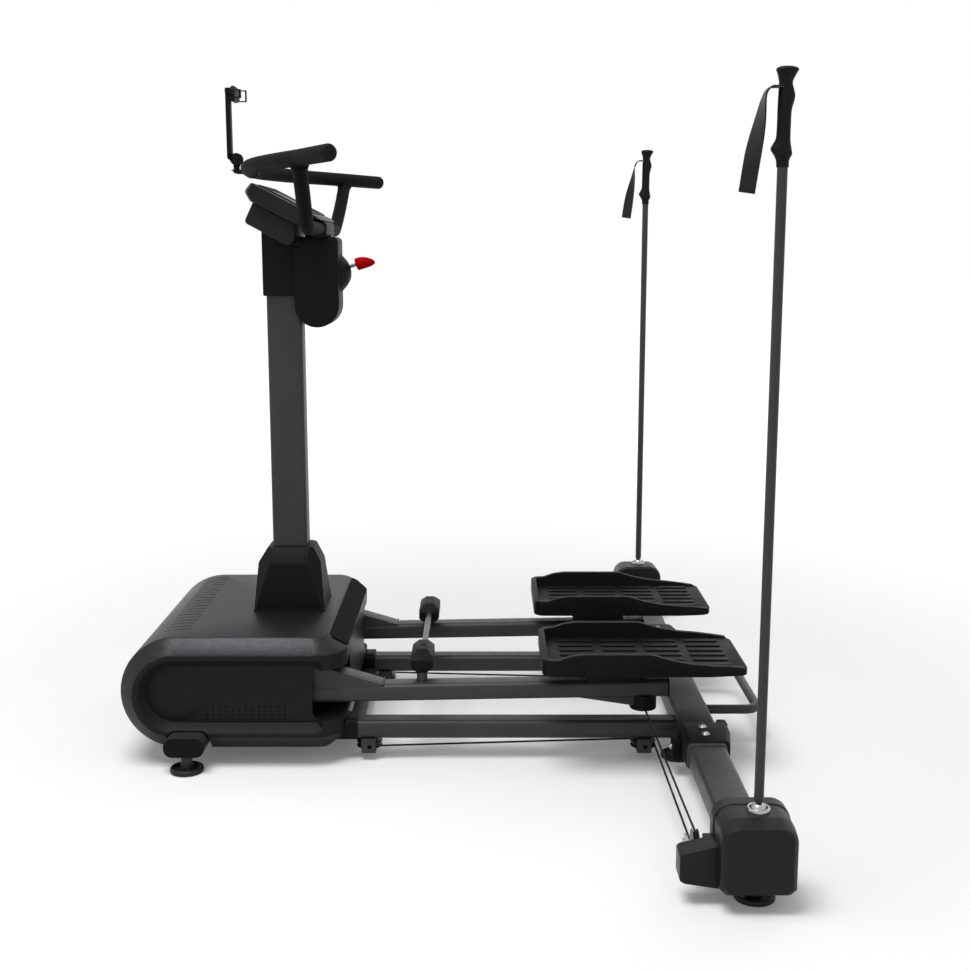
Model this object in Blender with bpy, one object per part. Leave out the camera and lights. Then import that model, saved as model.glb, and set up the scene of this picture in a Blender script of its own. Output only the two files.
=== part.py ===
# Ski simulator, built as separate solid pieces in one shared frame.
# Metres, +Z up, +X to the rear of the machine, -Y to the user's left, origin on the floor.
import bpy
import bmesh
import math
from mathutils import Vector

# Frame tubes
RAIL_Y = 0.2265
RAIL_W = 0.050
RAIL_LOW, RAIL_TOP = 0.045, 0.085
TUBE_WALL = 0.003
TUBE_CORNER = 0.011
BEAM_X0, BEAM_X1 = 0.475, 0.550
BEAM_LOW, BEAM_TOP = 0.050, 0.100
BEAM_PAST_RAIL = 0.0825
BEAM_HALF = RAIL_Y + BEAM_PAST_RAIL
JOINT_LONG = 0.110
JOINT_END = BEAM_HALF + JOINT_LONG
POLE_X, POLE_Y = 0.521, 0.870
BOX_Y0, BOX_Y1 = POLE_Y - 0.055, POLE_Y + 0.055
BOX_X0, BOX_X1 = 0.454, 0.578
CROSS_X0, CROSS_X1 = -0.578, -0.492

# Housing of the drive at the front
HOUSE_NOSE_X = -0.558
HOUSE_MID_Z = 0.1535
HOUSE_NOSE_R = 0.1185
HOUSE_PAST_RAIL = 0.0735
HOUSE_HALF_W = RAIL_Y + HOUSE_PAST_RAIL
HOUSE_BEVEL = 0.030
HOUSE_WALL = 0.008
HOUSE_CORNER = 0.075
HOUSE_TOP_Z = HOUSE_MID_Z + HOUSE_NOSE_R
HOUSE_LOW_Z = HOUSE_MID_Z - HOUSE_NOSE_R
CROSS_HALF = HOUSE_HALF_W + 0.035

# Mast and what it carries
MAST_X0, MAST_X1 = -0.392, -0.316
MAST_HALF = 0.028
MAST_TOP = 1.050
BAR_Z = 1.220
BAR_R = 0.0155

# Shift lever on its dome
LEVER_X, LEVER_Z = -0.2550, 1.0044
LEVER_END = (-0.2010, 0, 1.0228)

# Swing arms
PIVOT_X = -0.345
ARM_Y = 0.228
ARM_W = 0.050
ARM_END = 0.461
LINK_X = -0.055

# Poles
POLE_BALL_Z = 0.160
POLE_R = 0.008
GRIP_LOW, GRIP_LONG = 1.177, 0.145
GRIP_TOP = GRIP_LOW + GRIP_LONG
STRAP_Z = GRIP_TOP - 0.0282

# Cables and pulleys
CABLE_R = 0.0017
PULLEY_Z = 0.030
FRONT_PULLEY_X = -0.167
REAR_PULLEY_X = 0.410
PULLEY_RUN_R = 0.0226
BOX_PULLEY_X, BOX_PULLEY_Y, BOX_PULLEY_Z = BOX_X0 - 0.026, POLE_Y - 0.055, 0.077
BOX_RUN_R = 0.0186

# Flywheel
WHEEL_X, WHEEL_Z = -0.545, 0.168
WHEEL_R = 0.085
DRUM_R = 0.048
DRUM_Y = 0.050

GAP = 0.0003


def clear_scene():
    for old in list(bpy.data.objects):
        bpy.data.objects.remove(old, do_unlink=True)


def recalc(mesh):
    bm = bmesh.new()
    bm.from_mesh(mesh)
    bmesh.ops.remove_doubles(bm, verts=bm.verts, dist=1e-6)
    bmesh.ops.recalc_face_normals(bm, faces=bm.faces)
    bm.to_mesh(mesh)
    bm.free()


def solid(name, verts, faces):
    mesh = bpy.data.meshes.new(name)
    mesh.from_pydata([tuple(v) for v in verts], [], faces)
    mesh.update()
    recalc(mesh)
    obj = bpy.data.objects.new(name, mesh)
    bpy.context.scene.collection.objects.link(obj)
    return obj


def loft(name, rings, closed=False):
    """A skin through loops of equal length; capped, or joined last to first."""
    count = len(rings[0])
    verts = [p for ring in rings for p in ring]
    faces = []
    spans = len(rings) if closed else len(rings) - 1
    for i in range(spans):
        a = i * count
        b = ((i + 1) % len(rings)) * count
        for j in range(count):
            k = (j + 1) % count
            faces.append((a + j, a + k, b + k, b + j))
    if not closed:
        faces.append(tuple(range(count)))
        faces.append(tuple(range(len(verts) - count, len(verts))))
    return solid(name, verts, faces)


def rounded(a0, a1, b0, b1, r, steps=2):
    """A rectangle with rounded corners as a loop of two-number points."""
    loop = []
    for ca, cb, start in ((a1 - r, b1 - r, 0), (a0 + r, b1 - r, 90), (a0 + r, b0 + r, 180), (a1 - r, b0 + r, 270)):
        for i in range(steps + 1):
            t = math.radians(start + 90 * i / steps)
            loop.append((ca + r * math.cos(t), cb + r * math.sin(t)))
    return loop


def along_x(name, loop, x0, x1):
    return loft(name, [[(x, a, b) for a, b in loop] for x in (x0, x1)])


def along_y(name, loop, y0, y1):
    return loft(name, [[(a, y, b) for a, b in loop] for y in (y0, y1)])


def along_z(name, loop, z0, z1):
    return loft(name, [[(a, b, z) for a, b in loop] for z in (z0, z1)])


def box(name, x0, x1, y0, y1, z0, z1):
    return along_z(name, [(x0, y0), (x1, y0), (x1, y1), (x0, y1)], z0, z1)


def circle(ca, cb, r, count, turn=0.0):
    return [(ca + r * math.cos(turn + 2 * math.pi * i / count), cb + r * math.sin(turn + 2 * math.pi * i / count))
            for i in range(count)]


def cyl_x(name, y, z, r, x0, x1, count=20):
    return along_x(name, circle(y, z, r, count), x0, x1)


def cyl_y(name, x, z, r, y0, y1, count=20):
    return along_y(name, circle(x, z, r, count), y0, y1)


def cyl_z(name, x, y, r, z0, z1, count=20):
    return along_z(name, circle(x, y, r, count), z0, z1)


def lathe(name, axis, centre, profile, count=20, ring=False):
    """Turn (radius, height) points about an axis through centre; ring leaves a bore."""
    rings = []
    for r, h in profile:
        loop = []
        for i in range(count):
            t = 2 * math.pi * i / count
            a, b = r * math.cos(t), r * math.sin(t)
            if axis == "z":
                loop.append((centre[0] + a, centre[1] + b, centre[2] + h))
            elif axis == "y":
                loop.append((centre[0] + a, centre[1] + h, centre[2] + b))
            else:
                loop.append((centre[0] + h, centre[1] + a, centre[2] + b))
        rings.append(loop)
    return loft(name, rings, closed=ring)


def smooth(points, per=4):
    """Catmull-Rom points through the given ones."""
    pts = [Vector(p) for p in points]
    out = []
    for i in range(len(pts) - 1):
        p0 = pts[i - 1] if i else 2 * pts[0] - pts[1]
        p1, p2 = pts[i], pts[i + 1]
        p3 = pts[i + 2] if i + 2 < len(pts) else 2 * pts[-1] - pts[-2]
        for k in range(per):
            t = k / per
            out.append(0.5 * (2 * p1 + (p2 - p0) * t + (2 * p0 - 5 * p1 + 4 * p2 - p3) * t * t
                              + (3 * p1 - p0 - 3 * p2 + p3) * t ** 3))
    out.append(pts[-1])
    return out


def frames(path):
    """Tangent, side and up directions carried along a path."""
    pts = [Vector(p) for p in path]
    out = []
    side = None
    for i, p in enumerate(pts):
        a = pts[max(i - 1, 0)]
        b = pts[min(i + 1, len(pts) - 1)]
        t = (b - a).normalized()
        if side is None:
            ref = Vector((0, 0, 1)) if abs(t.z) < 0.9 else Vector((1, 0, 0))
            side = t.cross(ref).normalized()
        side = (side - t * side.dot(t)).normalized()
        out.append((p, t, side, t.cross(side)))
    return out


def sweep(name, path, radius, count=12):
    rings = []
    for p, t, side, up in frames(path):
        rings.append([p + side * radius * math.cos(2 * math.pi * i / count)
                      + up * radius * math.sin(2 * math.pi * i / count) for i in range(count)])
    return loft(name, rings)


def combine(obj, tool, operation):
    mod = obj.modifiers.new("shape", "BOOLEAN")
    mod.operation = operation
    mod.solver = "EXACT"
    mod.object = tool
    bpy.context.view_layer.update()
    graph = bpy.context.evaluated_depsgraph_get()
    mesh = bpy.data.meshes.new_from_object(obj.evaluated_get(graph))
    obj.modifiers.clear()
    old = obj.data
    obj.data = mesh
    mesh.name = obj.name
    bpy.data.meshes.remove(old)
    bpy.data.objects.remove(tool, do_unlink=True)
    recalc(obj.data)
    return obj


def join(obj, *tools):
    for tool in tools:
        combine(obj, tool, "UNION")
    return obj


def cut(obj, *tools):
    for tool in tools:
        combine(obj, tool, "DIFFERENCE")
    return obj


def mirrored(obj, name):
    """The same piece for the user's right side."""
    mesh = obj.data
    verts = [(v.co.x, -v.co.y, v.co.z) for v in mesh.vertices]
    faces = [tuple(reversed(p.vertices)) for p in mesh.polygons]
    return solid(name, verts, faces)


def house_loop(inset):
    """Side outline of the housing, moved inwards by inset."""
    loop = []
    r = HOUSE_NOSE_R - inset
    for i in range(15):
        t = math.radians(90 + 180 * i / 14)
        loop.append((HOUSE_NOSE_X + r * math.cos(t), HOUSE_MID_Z + r * math.sin(t)))
    loop.append((min(-0.236 - 0.402 * inset, -0.214 - inset), HOUSE_LOW_Z + inset))
    loop.append((-0.212 - inset, max(0.058 + 0.427 * inset, HOUSE_LOW_Z + inset + 0.002)))
    loop.append((-0.212 - inset, 0.200))
    loop.append((-0.209 - inset, min(0.2438 - 0.487 * inset, HOUSE_TOP_Z - inset - 0.003)))
    loop.append((min(-0.245 - 0.345 * inset, -0.212 - inset), HOUSE_TOP_Z - inset))
    return loop


def rear_keep():
    """Room the housing fills at its rear end: round corners, drawn in towards its top and bottom."""
    rings = []
    for z, inset, rear in ((0.0, 0.055, -0.2660), (0.035, 0.030, -0.2340), (0.062, 0.0, -0.2080),
                           (0.2440, 0.0, -0.2080), (HOUSE_TOP_Z, 0.0285, -0.2440), (0.300, 0.056, -0.2790)):
        side, r = HOUSE_HALF_W + 0.0002 - inset, HOUSE_CORNER - inset
        turns = [math.radians(a) for a in (0, 15, 30, 45, 60, 75, 90)]
        loop = [(-0.900, -side)] + [(rear - r + r * math.sin(t), -side + r - r * math.cos(t)) for t in turns]
        loop += [(x, -y) for x, y in reversed(loop)]
        rings.append([(x, y, z) for x, y in loop])
    return loft("tool2", rings)


def make_housing():
    w = HOUSE_HALF_W
    plan = [(-w, HOUSE_BEVEL), (-w + HOUSE_BEVEL, 0.0), (w - HOUSE_BEVEL, 0.0), (w, HOUSE_BEVEL),
            (w, HOUSE_BEVEL + 0.011), (w - 0.020, 0.058), (w - 0.032, 0.058), (w - 0.038, HOUSE_WALL),
            (-w + 0.038, HOUSE_WALL), (-w + 0.032, 0.058), (-w + 0.020, 0.058), (-w, HOUSE_BEVEL + 0.011)]
    rings = [[(x, y, z) for x, z in house_loop(inset)] for y, inset in plan]
    shell = loft("housing_shell", rings, closed=True)
    wall = [(-0.2990, 0.0910), (-0.2145, 0.0910), (-0.2145, 0.2380), (-0.2450, 0.2660), (-0.2990, 0.2680)]
    for s in (-1, 1):
        y0, y1 = sorted((s * 0.165, s * (w + 0.040)))
        cut(shell, box("tool", -0.280, -0.150, y0, y1, 0.100, 0.2075))
        y0, y1 = sorted((s * 0.1590, s * 0.1650))
        join(shell, along_y("tool", wall, y0, y1))
        y0, y1 = sorted((s * 0.1640, s * (w - 0.0315)))
        join(shell, box("tool", -0.2990, -0.2190, y0, y1, 0.0910, 0.0960))
    combine(shell, rear_keep(), "INTERSECT")
    cut(shell, box("tool", CROSS_X0 - 0.0015, CROSS_X1 + 0.0015, -w - 0.05, w + 0.05, 0.0, 0.080))
    cut(shell, box("tool", -0.262, -0.150, -RAIL_Y - 0.035, RAIL_Y + 0.035, 0.0, 0.0905))
    cut(shell, box("tool", -0.335, -0.250, -0.090, 0.090, 0.0, 0.060))
    cut(shell, box("tool", MAST_X0 - 0.001, MAST_X1 + 0.001, -MAST_HALF - 0.001, MAST_HALF + 0.001, 0.20, 0.40))
    return shell


def make_side_cover():
    y = -HOUSE_HALF_W + 0.024
    cover = along_y("side_cover_left", house_loop(0.0583), y, y + 0.007)
    cut(cover, box("tool", -0.280, -0.150, y - 0.02, y + 0.02, 0.100, 0.2075))
    cut(cover, box("tool", CROSS_X0 - 0.0015, CROSS_X1 + 0.0015, y - 0.02, y + 0.02, 0.0, 0.080))
    return cover


def pulley_bracket(x, side):
    y = side * RAIL_Y
    top = box("tool", x - 0.015, x + 0.015, y - 0.0305, y + 0.0305, 0.0425, 0.0460)
    join(top, box("tool", x - 0.015, x + 0.015, y + 0.0282, y + 0.0305, 0.0180, 0.0440))
    join(top, box("tool", x - 0.015, x + 0.015, y - 0.0305, y - 0.0282, 0.0180, 0.0440))
    join(top, box("tool", x - 0.015, x + 0.015, y - 0.0305, y + 0.0305, 0.0165, 0.0190))
    join(top, cyl_z("tool", x, y, 0.0040, 0.0170, 0.0450, 12))
    return top


def make_main_frame():
    loop = rounded(CROSS_X0, CROSS_X1, 0.0352, 0.0785, 0.016, 3)
    frame = along_y("main_frame", loop, -CROSS_HALF, CROSS_HALF)
    for s in (-1, 1):
        rail = rounded(s * RAIL_Y - RAIL_W / 2, s * RAIL_Y + RAIL_W / 2, RAIL_LOW, RAIL_TOP, TUBE_CORNER, 3)
        join(frame, along_x("tool", rail, -0.540, BEAM_X0 - GAP))
    half = CROSS_HALF - 0.025
    cut(frame, box("tool", CROSS_X0 + 0.004, CROSS_X1 - 0.004, -half, half, 0.0392, 0.0745))
    for s in (-1, 1):
        half = RAIL_W / 2 - TUBE_WALL
        bore = rounded(s * RAIL_Y - half, s * RAIL_Y + half, RAIL_LOW + TUBE_WALL, RAIL_TOP - TUBE_WALL, 0.008)
        cut(frame, along_x("tool", bore, -0.536, BEAM_X0 + 0.010))
    for s in (-1, 1):
        collar = rounded(s * RAIL_Y - 0.030, s * RAIL_Y + 0.030, 0.0435, 0.0895, 0.012)
        sleeve = along_x("tool", collar, -0.238, -0.190)
        hollow = rounded(s * RAIL_Y - 0.024, s * RAIL_Y + 0.024, RAIL_LOW + 0.001, RAIL_TOP - 0.001, 0.011)
        join(frame, cut(sleeve, along_x("tool2", hollow, -0.250, -0.180)))
        join(frame, cyl_z("tool", PIVOT_X, s * ARM_Y, 0.0180, 0.070, 0.2180))
        join(frame, cyl_z("tool", PIVOT_X, s * ARM_Y, 0.0260, 0.2155, 0.2225))
        join(frame, cyl_z("tool", PIVOT_X, s * ARM_Y, 0.0240, 0.080, 0.0995))
        join(frame, pulley_bracket(FRONT_PULLEY_X, s), pulley_bracket(REAR_PULLEY_X, s))
        pad_y0, pad_y1 = sorted((s * 0.150, s * 0.245))
        join(frame, box("tool", -0.412, -0.302, pad_y0, pad_y1, 0.0700, 0.0990))
        lug_y0, lug_y1 = sorted((s * 0.030, s * 0.038))
        join(frame, box("tool", -0.455, -0.400, lug_y0, lug_y1, 0.0920, 0.2400))
        cheek_y0, cheek_y1 = sorted((s * 0.086, s * 0.094))
        join(frame, box("tool", -0.570, -0.520, cheek_y0, cheek_y1, 0.0700, 0.1900))
        join(frame, cyl_z("tool", -0.1998, s * 0.0602, 0.0080, 0.0220, 0.0500, 12))
    join(frame, box("tool", -0.412, -0.302, -0.194, 0.194, 0.0900, 0.1080))
    join(frame, box("tool", -0.216, -0.184, -0.205, 0.205, 0.0470, 0.0560))
    join(frame, cyl_y("tool", WHEEL_X, WHEEL_Z, 0.0085, -0.090, 0.090, 16))
    join(frame, cyl_y("tool", -0.440, 0.2250, 0.0040, -0.034, 0.034, 12))
    return frame


def make_flywheel():
    profile = [(0.0088, -0.012), (0.022, -0.016), (0.024, -0.008), (0.070, -0.008), (0.072, -0.016),
               (WHEEL_R, -0.016), (WHEEL_R, 0.016), (0.072, 0.016), (0.070, 0.008), (0.024, 0.008),
               (0.022, 0.016), (0.0088, 0.012)]
    return lathe("flywheel", "y", (WHEEL_X, 0, WHEEL_Z), profile, 36, ring=True)


def make_drum():
    r = DRUM_R - CABLE_R - 0.0004
    profile = [(0.0088, -0.012), (DRUM_R + 0.006, -0.012), (DRUM_R + 0.006, -0.009), (r, -0.007),
               (r, 0.007), (DRUM_R + 0.006, 0.009), (DRUM_R + 0.006, 0.012), (0.0088, 0.012)]
    return lathe("cable_drum_left", "y", (WHEEL_X, -DRUM_Y, WHEEL_Z), profile, 24, ring=True)


def make_brake_shoe():
    shoe = box("brake_shoe", -0.4570, -0.4370, -0.022, 0.022, 0.135, 0.205)
    cut(shoe, cyl_y("tool", WHEEL_X, WHEEL_Z, WHEEL_R + 0.004, -0.030, 0.030, 36))
    join(shoe, box("tool", -0.4470, -0.4370, -0.022, 0.022, 0.195, 0.222))
    join(shoe, cyl_y("tool", -0.440, 0.2250, 0.0090, -0.022, 0.022, 16))
    cut(shoe, cyl_y("tool", -0.440, 0.2250, 0.0044, -0.030, 0.030, 16))
    return shoe


def make_mast():
    outer = rounded(MAST_X0, MAST_X1, -MAST_HALF, MAST_HALF, 0.008, 3)
    inner = rounded(MAST_X0 + 0.003, MAST_X1 - 0.003, -MAST_HALF + 0.003, MAST_HALF - 0.003, 0.005, 3)
    low, top = 0.1083, MAST_TOP
    rings = [[(a, b, low) for a, b in outer], [(a, b, top) for a, b in outer],
             [(a, b, top) for a, b in inner], [(a, b, low) for a, b in inner]]
    return loft("mast", rings, closed=True)


def make_boot():
    levels = [(HOUSE_TOP_Z + GAP, -0.432, -0.275, 0.070, 0.006), (0.300, -0.431, -0.277, 0.069, 0.012),
              (0.368, -0.425, -0.285, 0.063, 0.018), (0.392, -0.418, -0.290, 0.056, 0.018),
              (0.409, -0.401, -0.303, 0.039, 0.010)]
    rings = [[(a, b, z) for a, b in rounded(x0, x1, -half, half, r, 3)] for z, x0, x1, half, r in levels]
    boot = loft("mast_boot", rings)
    hole = rounded(MAST_X0 - GAP, MAST_X1 + GAP, -MAST_HALF - GAP, MAST_HALF + GAP, 0.008, 3)
    return cut(boot, along_z("tool", hole, 0.20, 0.50))


def make_collar():
    side = [(-0.3965, 0.957), (-0.3055, 0.957), (-0.3055, 1.0595), (-0.3285, 1.0595), (-0.3965, 1.0957)]
    collar = along_y("mast_collar", side, -0.038, 0.038)
    hole = rounded(MAST_X0 - GAP, MAST_X1 + GAP, -MAST_HALF - GAP, MAST_HALF + GAP, 0.008, 3)
    return cut(collar, along_z("tool", hole, 0.90, MAST_TOP + GAP))


def make_console():
    rear = [(-0.4025, 1.1507), (-0.4220, 1.1100), (-0.3280, 1.0600), (-0.3165, 1.0830), (-0.3180, 1.1067)]
    back = along_y("console_back", rear, -0.100, 0.100)
    top = [(-0.4000, 1.1900), (-0.2620, 1.1190), (-0.2600, 1.1145), (-0.2930, 1.1145), (-0.3060, 1.1010),
           (-0.4040, 1.1520), (-0.4150, 1.1720)]
    slim = [(x + 0.005, z - 0.006) if z > 1.150 else (x - 0.002, z) for x, z in top]
    rings = [[(x, y, z) for x, z in loop] for y, loop in ((-0.135, slim), (-0.125, top), (0.125, top), (0.135, slim))]
    face = loft("console_face", rings)
    return back, face


def make_handlebar():
    half = [(-0.419, 0.0), (-0.413, 0.080), (-0.388, 0.170), (-0.352, 0.252), (-0.308, 0.335),
            (-0.263, 0.415), (-0.225, 0.490), (-0.190, 0.560)]
    pts = [(x, -y, BAR_Z) for x, y in reversed(half)] + [(x, y, BAR_Z) for x, y in half[1:]]
    bar = sweep("handlebar", smooth(pts, 2), BAR_R, 14)
    post = [(-0.262, -0.4280, 1.2130), (-0.267, -0.3400, 1.1540), (-0.2715, -0.2700, 1.1090),
            (-0.2720, -0.2420, 1.0980), (-0.2720, -0.2100, 1.0970)]
    low = post + [(x, -y, z) for x, y, z in reversed(post)]
    join(bar, sweep("tool", low, 0.0145, 12))
    join(bar, box("tool", -0.3052, -0.2600, -0.030, 0.030, 1.0400, 1.0970))
    return bar


def make_pod():
    loop = [(-0.329, 1.0810), (-0.329, 0.938)]
    for i in range(1, 12):
        t = math.pi + math.pi * i / 12
        loop.append((-0.2815 + 0.0475 * math.cos(t), 0.938 + 0.0475 * math.sin(t)))
    loop += [(-0.234, 0.938), (-0.234, 1.0810)]
    pod = along_y("lever_pod", loop, -0.050, 0.050)
    dome = lathe("tool", "x", (-0.2552, 0, LEVER_Z),
                 [(0.040, 0.010), (0.0385, 0.0222), (0.0330, 0.0297), (0.0240, 0.0373), (0.0120, 0.0427),
                  (0.002, 0.0444)], 24)
    join(pod, dome)
    cut(pod, box("tool", -0.340, -0.3052, -0.0383, 0.0383, 0.80, 1.20))
    cut(pod, box("tool", -0.3200, -0.2597, -0.0303, 0.0303, 1.0397, 1.20))
    cut(pod, box("tool", -0.2800, -0.190, -0.0045, 0.0045, 0.9680, 1.0400))
    cut(pod, box("tool", -0.3500, -0.3155, -0.0600, 0.0600, 1.0585, 1.1000))
    join(pod, cyl_y("tool", LEVER_X, LEVER_Z, 0.0040, -0.020, 0.020, 12))
    return pod


def make_lever():
    hub = cyl_y("shift_lever", LEVER_X, LEVER_Z, 0.0185, -0.0042, 0.0042, 20)
    join(hub, sweep("tool", [(LEVER_X, 0, LEVER_Z), LEVER_END], 0.0033, 10))
    return cut(hub, cyl_y("tool", LEVER_X, LEVER_Z, 0.0043, -0.010, 0.010, 12))


def make_knob():
    """A flattened drop shape on the end of the lever rod."""
    axis = (Vector(LEVER_END) - Vector((LEVER_X, 0, LEVER_Z))).normalized()
    up = Vector((-axis.z, 0, axis.x))
    start = Vector(LEVER_END) + axis * GAP
    rings = []
    for along, drop, high, wide in ((0.0, 0.0, 0.0070, 0.0080), (0.0030, 0.0005, 0.0105, 0.0125),
                                    (0.0100, 0.0015, 0.0125, 0.0150), (0.0220, 0.0040, 0.0095, 0.0150),
                                    (0.0340, 0.0070, 0.0055, 0.0110), (0.0400, 0.0085, 0.0020, 0.0050)):
        c = start + axis * along - up * drop
        rings.append([c + up * high * math.sin(2 * math.pi * i / 14)
                      + Vector((0, 1, 0)) * wide * math.cos(2 * math.pi * i / 14) for i in range(14)])
    return loft("lever_knob", rings)


def make_phone_holder():
    clamp = lathe("phone_clamp", "y", (-0.419, 0, BAR_Z),
                  [(BAR_R + 0.0007, -0.0065), (BAR_R + 0.0035, -0.0065), (BAR_R + 0.0035, 0.0065), (BAR_R + 0.0007, 0.0065)],
                  20, ring=True)
    join(clamp, box("tool", -0.4560, -0.4365, -0.006, 0.006, 1.2140, 1.2270))
    join(clamp, cyl_z("tool", -0.4500, 0, 0.0075, 1.2200, 1.2292, 12))
    join(clamp, box("tool", -0.4570, -0.4430, -0.0035, 0.0035, 1.2280, 1.2440))
    join(clamp, cyl_y("tool", -0.4500, 1.2430, 0.0080, -0.0035, 0.0035, 16))
    arm = cyl_y("phone_arm", -0.4500, 1.2430, 0.0130, -0.0090, 0.0090, 20)
    join(arm, box("tool", -0.4690, -0.4590, -0.0090, 0.0090, 1.2450, 1.3800))
    join(arm, box("tool", -0.4660, -0.4500, -0.0090, 0.0090, 1.2350, 1.2520))
    cut(arm, box("tool", -0.4645, -0.4300, -0.0038, 0.0038, 1.2200, 1.2560))
    join(arm, cyl_y("tool", -0.4640, 1.3830, 0.0058, -0.0090, 0.0090, 14))
    cut(arm, cyl_y("tool", -0.4640, 1.3830, 0.0029, -0.0200, 0.0200, 12))
    head = box("phone_head", -0.4550, -0.4470, -0.0300, 0.0300, 1.3600, 1.3920)
    for s in (-1, 1):
        y0, y1 = sorted((s * 0.0093, s * 0.0125))
        join(head, box("tool", -0.4690, -0.4540, y0, y1, 1.3770, 1.3890))
    join(head, cyl_y("tool", -0.4640, 1.3830, 0.0025, -0.0110, 0.0110, 12))
    join(head, box("tool", -0.4480, -0.4310, 0.0340, 0.0370, 1.3650, 1.3830))
    join(head, box("tool", -0.4550, -0.4470, 0.0250, 0.0370, 1.3650, 1.3830))
    join(head, box("tool", -0.4345, -0.4310, 0.0300, 0.0370, 1.3650, 1.3830))
    cut(head, box("tool", -0.4530, -0.4490, -0.0400, 0.0150, 1.3680, 1.3760))
    jaw = box("phone_jaw", -0.4527, -0.4493, -0.0400, 0.0100, 1.3683, 1.3757)
    join(jaw, box("tool", -0.4527, -0.4310, -0.0400, -0.0365, 1.3650, 1.3830))
    join(jaw, box("tool", -0.4345, -0.4310, -0.0370, -0.0300, 1.3650, 1.3830))
    return clamp, arm, head, jaw


def make_foot(name, x, y, top):
    profile = [(0.0250, 0.0), (0.0330, 0.0015), (0.0330, 0.0065), (0.0255, 0.0130), (0.0120, 0.0170), (0.0120, top)]
    return lathe(name, "z", (x, y, 0.0), profile, 20)


def make_rear_beam():
    beam = along_y("rear_beam", rounded(BEAM_X0, BEAM_X1, BEAM_LOW, BEAM_TOP, 0.007), -BEAM_HALF, BEAM_HALF)
    grip = [(0.545, -0.155, 0.077), (0.640, -0.155, 0.077), (0.656, -0.149, 0.077), (0.6645, -0.138, 0.077),
            (0.667, -0.120, 0.077)]
    path = grip + [(x, -y, z) for x, y, z in reversed(grip)]
    join(beam, sweep("tool", path, 0.0095, 12))
    bore = rounded(BEAM_X0 + 0.003, BEAM_X1 - 0.003, BEAM_LOW + 0.003, BEAM_TOP - 0.003, 0.004)
    return cut(beam, along_y("tool", bore, -BEAM_HALF - 0.04, BEAM_HALF + 0.04))


def make_joint_block():
    y0, y1 = -JOINT_END, -BEAM_HALF - GAP
    block = along_y("beam_joint_left", rounded(0.4725, 0.5720, 0.0400, 0.1045, 0.010, 3), y0, y1)
    join(block, box("tool", BEAM_X1 + 0.001, 0.5720, y1 - 0.0077, y1 + 0.0223, 0.0420, 0.1030))
    return join(block, box("tool", 0.4560, 0.4735, y1 - 0.0377, y1 - 0.0017, 0.0360, 0.0780))


def make_outer_beam():
    y0 = -BOX_Y0 + GAP
    tube = along_y("outer_beam_left", rounded(0.4765, 0.5485, 0.0520, 0.0985, 0.008), y0, -JOINT_END - GAP)
    y1 = -JOINT_END - GAP
    join(tube, along_y("tool", rounded(0.4735, 0.5515, 0.0490, 0.1015, 0.010, 3), y1 - 0.0117, y1))
    return cut(tube, along_y("tool", rounded(0.4795, 0.5455, 0.0550, 0.0955, 0.005), y0 - 0.05, y1 + 0.05))


def make_pole_box():
    low, top = 0.0260, 0.1570
    rings = []
    for y, inset, drop in ((-BOX_Y1, 0.008, 0.009), (-BOX_Y1 + 0.008, 0.0, 0.0065), (-BOX_Y1 + 0.028, 0.0, 0.0),
                           (-BOX_Y0 - 0.004, 0.0, 0.0), (-BOX_Y0, 0.005, 0.005)):
        x0, x1, peak, r = BOX_X0 + inset, BOX_X1 - inset, top - drop, 0.030 - inset
        loop = [(x0 + 0.010, low), (x0, low + 0.009)]
        loop += [(x0 + r - r * math.sin(t), peak - r + r * math.cos(t)) for t in (math.pi / 2, math.pi / 3,
                                                                                  math.pi / 6, 0.0)]
        loop += [(x1 - r + r * math.sin(t), peak - r + r * math.cos(t)) for t in (0.0, math.pi / 6, math.pi / 3,
                                                                                  math.pi / 2)]
        loop += [(x1, low + 0.009), (x1 - 0.010, low)]
        rings.append([(x, y, z) for x, z in loop])
    case = loft("pole_box_left", rings)
    ring = lathe("tool", "z", (POLE_X, -POLE_Y, 0.0),
                 [(0.0080, 0.1500), (0.0185, 0.1500), (0.0190, 0.1600), (0.0170, 0.1640), (0.0080, 0.1640)], 20)
    join(case, ring)
    cut(case, cyl_z("tool", POLE_X, -POLE_Y, 0.0146, 0.1400, 0.1800, 20))
    nose = [(0.3930, 0.0430), (0.3930, 0.0840), (0.3975, 0.0885), (0.4580, 0.1030), (0.4580, 0.0290), (0.4010, 0.0380)]
    y = -BOX_PULLEY_Y
    join(case, along_y("tool", nose, y - 0.073, y - 0.027))
    join(case, box("tool", 0.4405, 0.4580, y - 0.035, y + 0.004, 0.062, 0.092))
    join(case, box("tool", 0.4110, 0.4155, y - 0.035, y + 0.012, 0.064, 0.090))
    join(case, cyl_x("tool", y, BOX_PULLEY_Z, 0.0040, 0.4120, 0.4500, 12))
    return case


def make_box_pulley():
    profile = [(0.0044, -0.0055), (0.0220, -0.0055), (0.0220, -0.0042), (0.0165, -0.0018), (0.0165, 0.0018),
               (0.0220, 0.0042), (0.0220, 0.0055), (0.0044, 0.0055)]
    return lathe("box_pulley_left", "x", (BOX_PULLEY_X, -BOX_PULLEY_Y, BOX_PULLEY_Z), profile, 20, ring=True)


def make_rail_pulley(name, x):
    profile = [(0.0044, -0.0060), (0.0270, -0.0060), (0.0270, -0.0045), (0.0205, -0.0018), (0.0205, 0.0018),
               (0.0270, 0.0045), (0.0270, 0.0060), (0.0044, 0.0060)]
    return lathe(name, "z", (x, -RAIL_Y, PULLEY_Z), profile, 20, ring=True)


def make_ball():
    rows = [(0.0136 * math.sin(math.radians(a)), -0.0136 * math.cos(math.radians(a))) for a in range(12, 180, 26)]
    return lathe("pole_ball_left", "z", (POLE_X, -POLE_Y, POLE_BALL_Z - 0.002), rows, 16)


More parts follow.
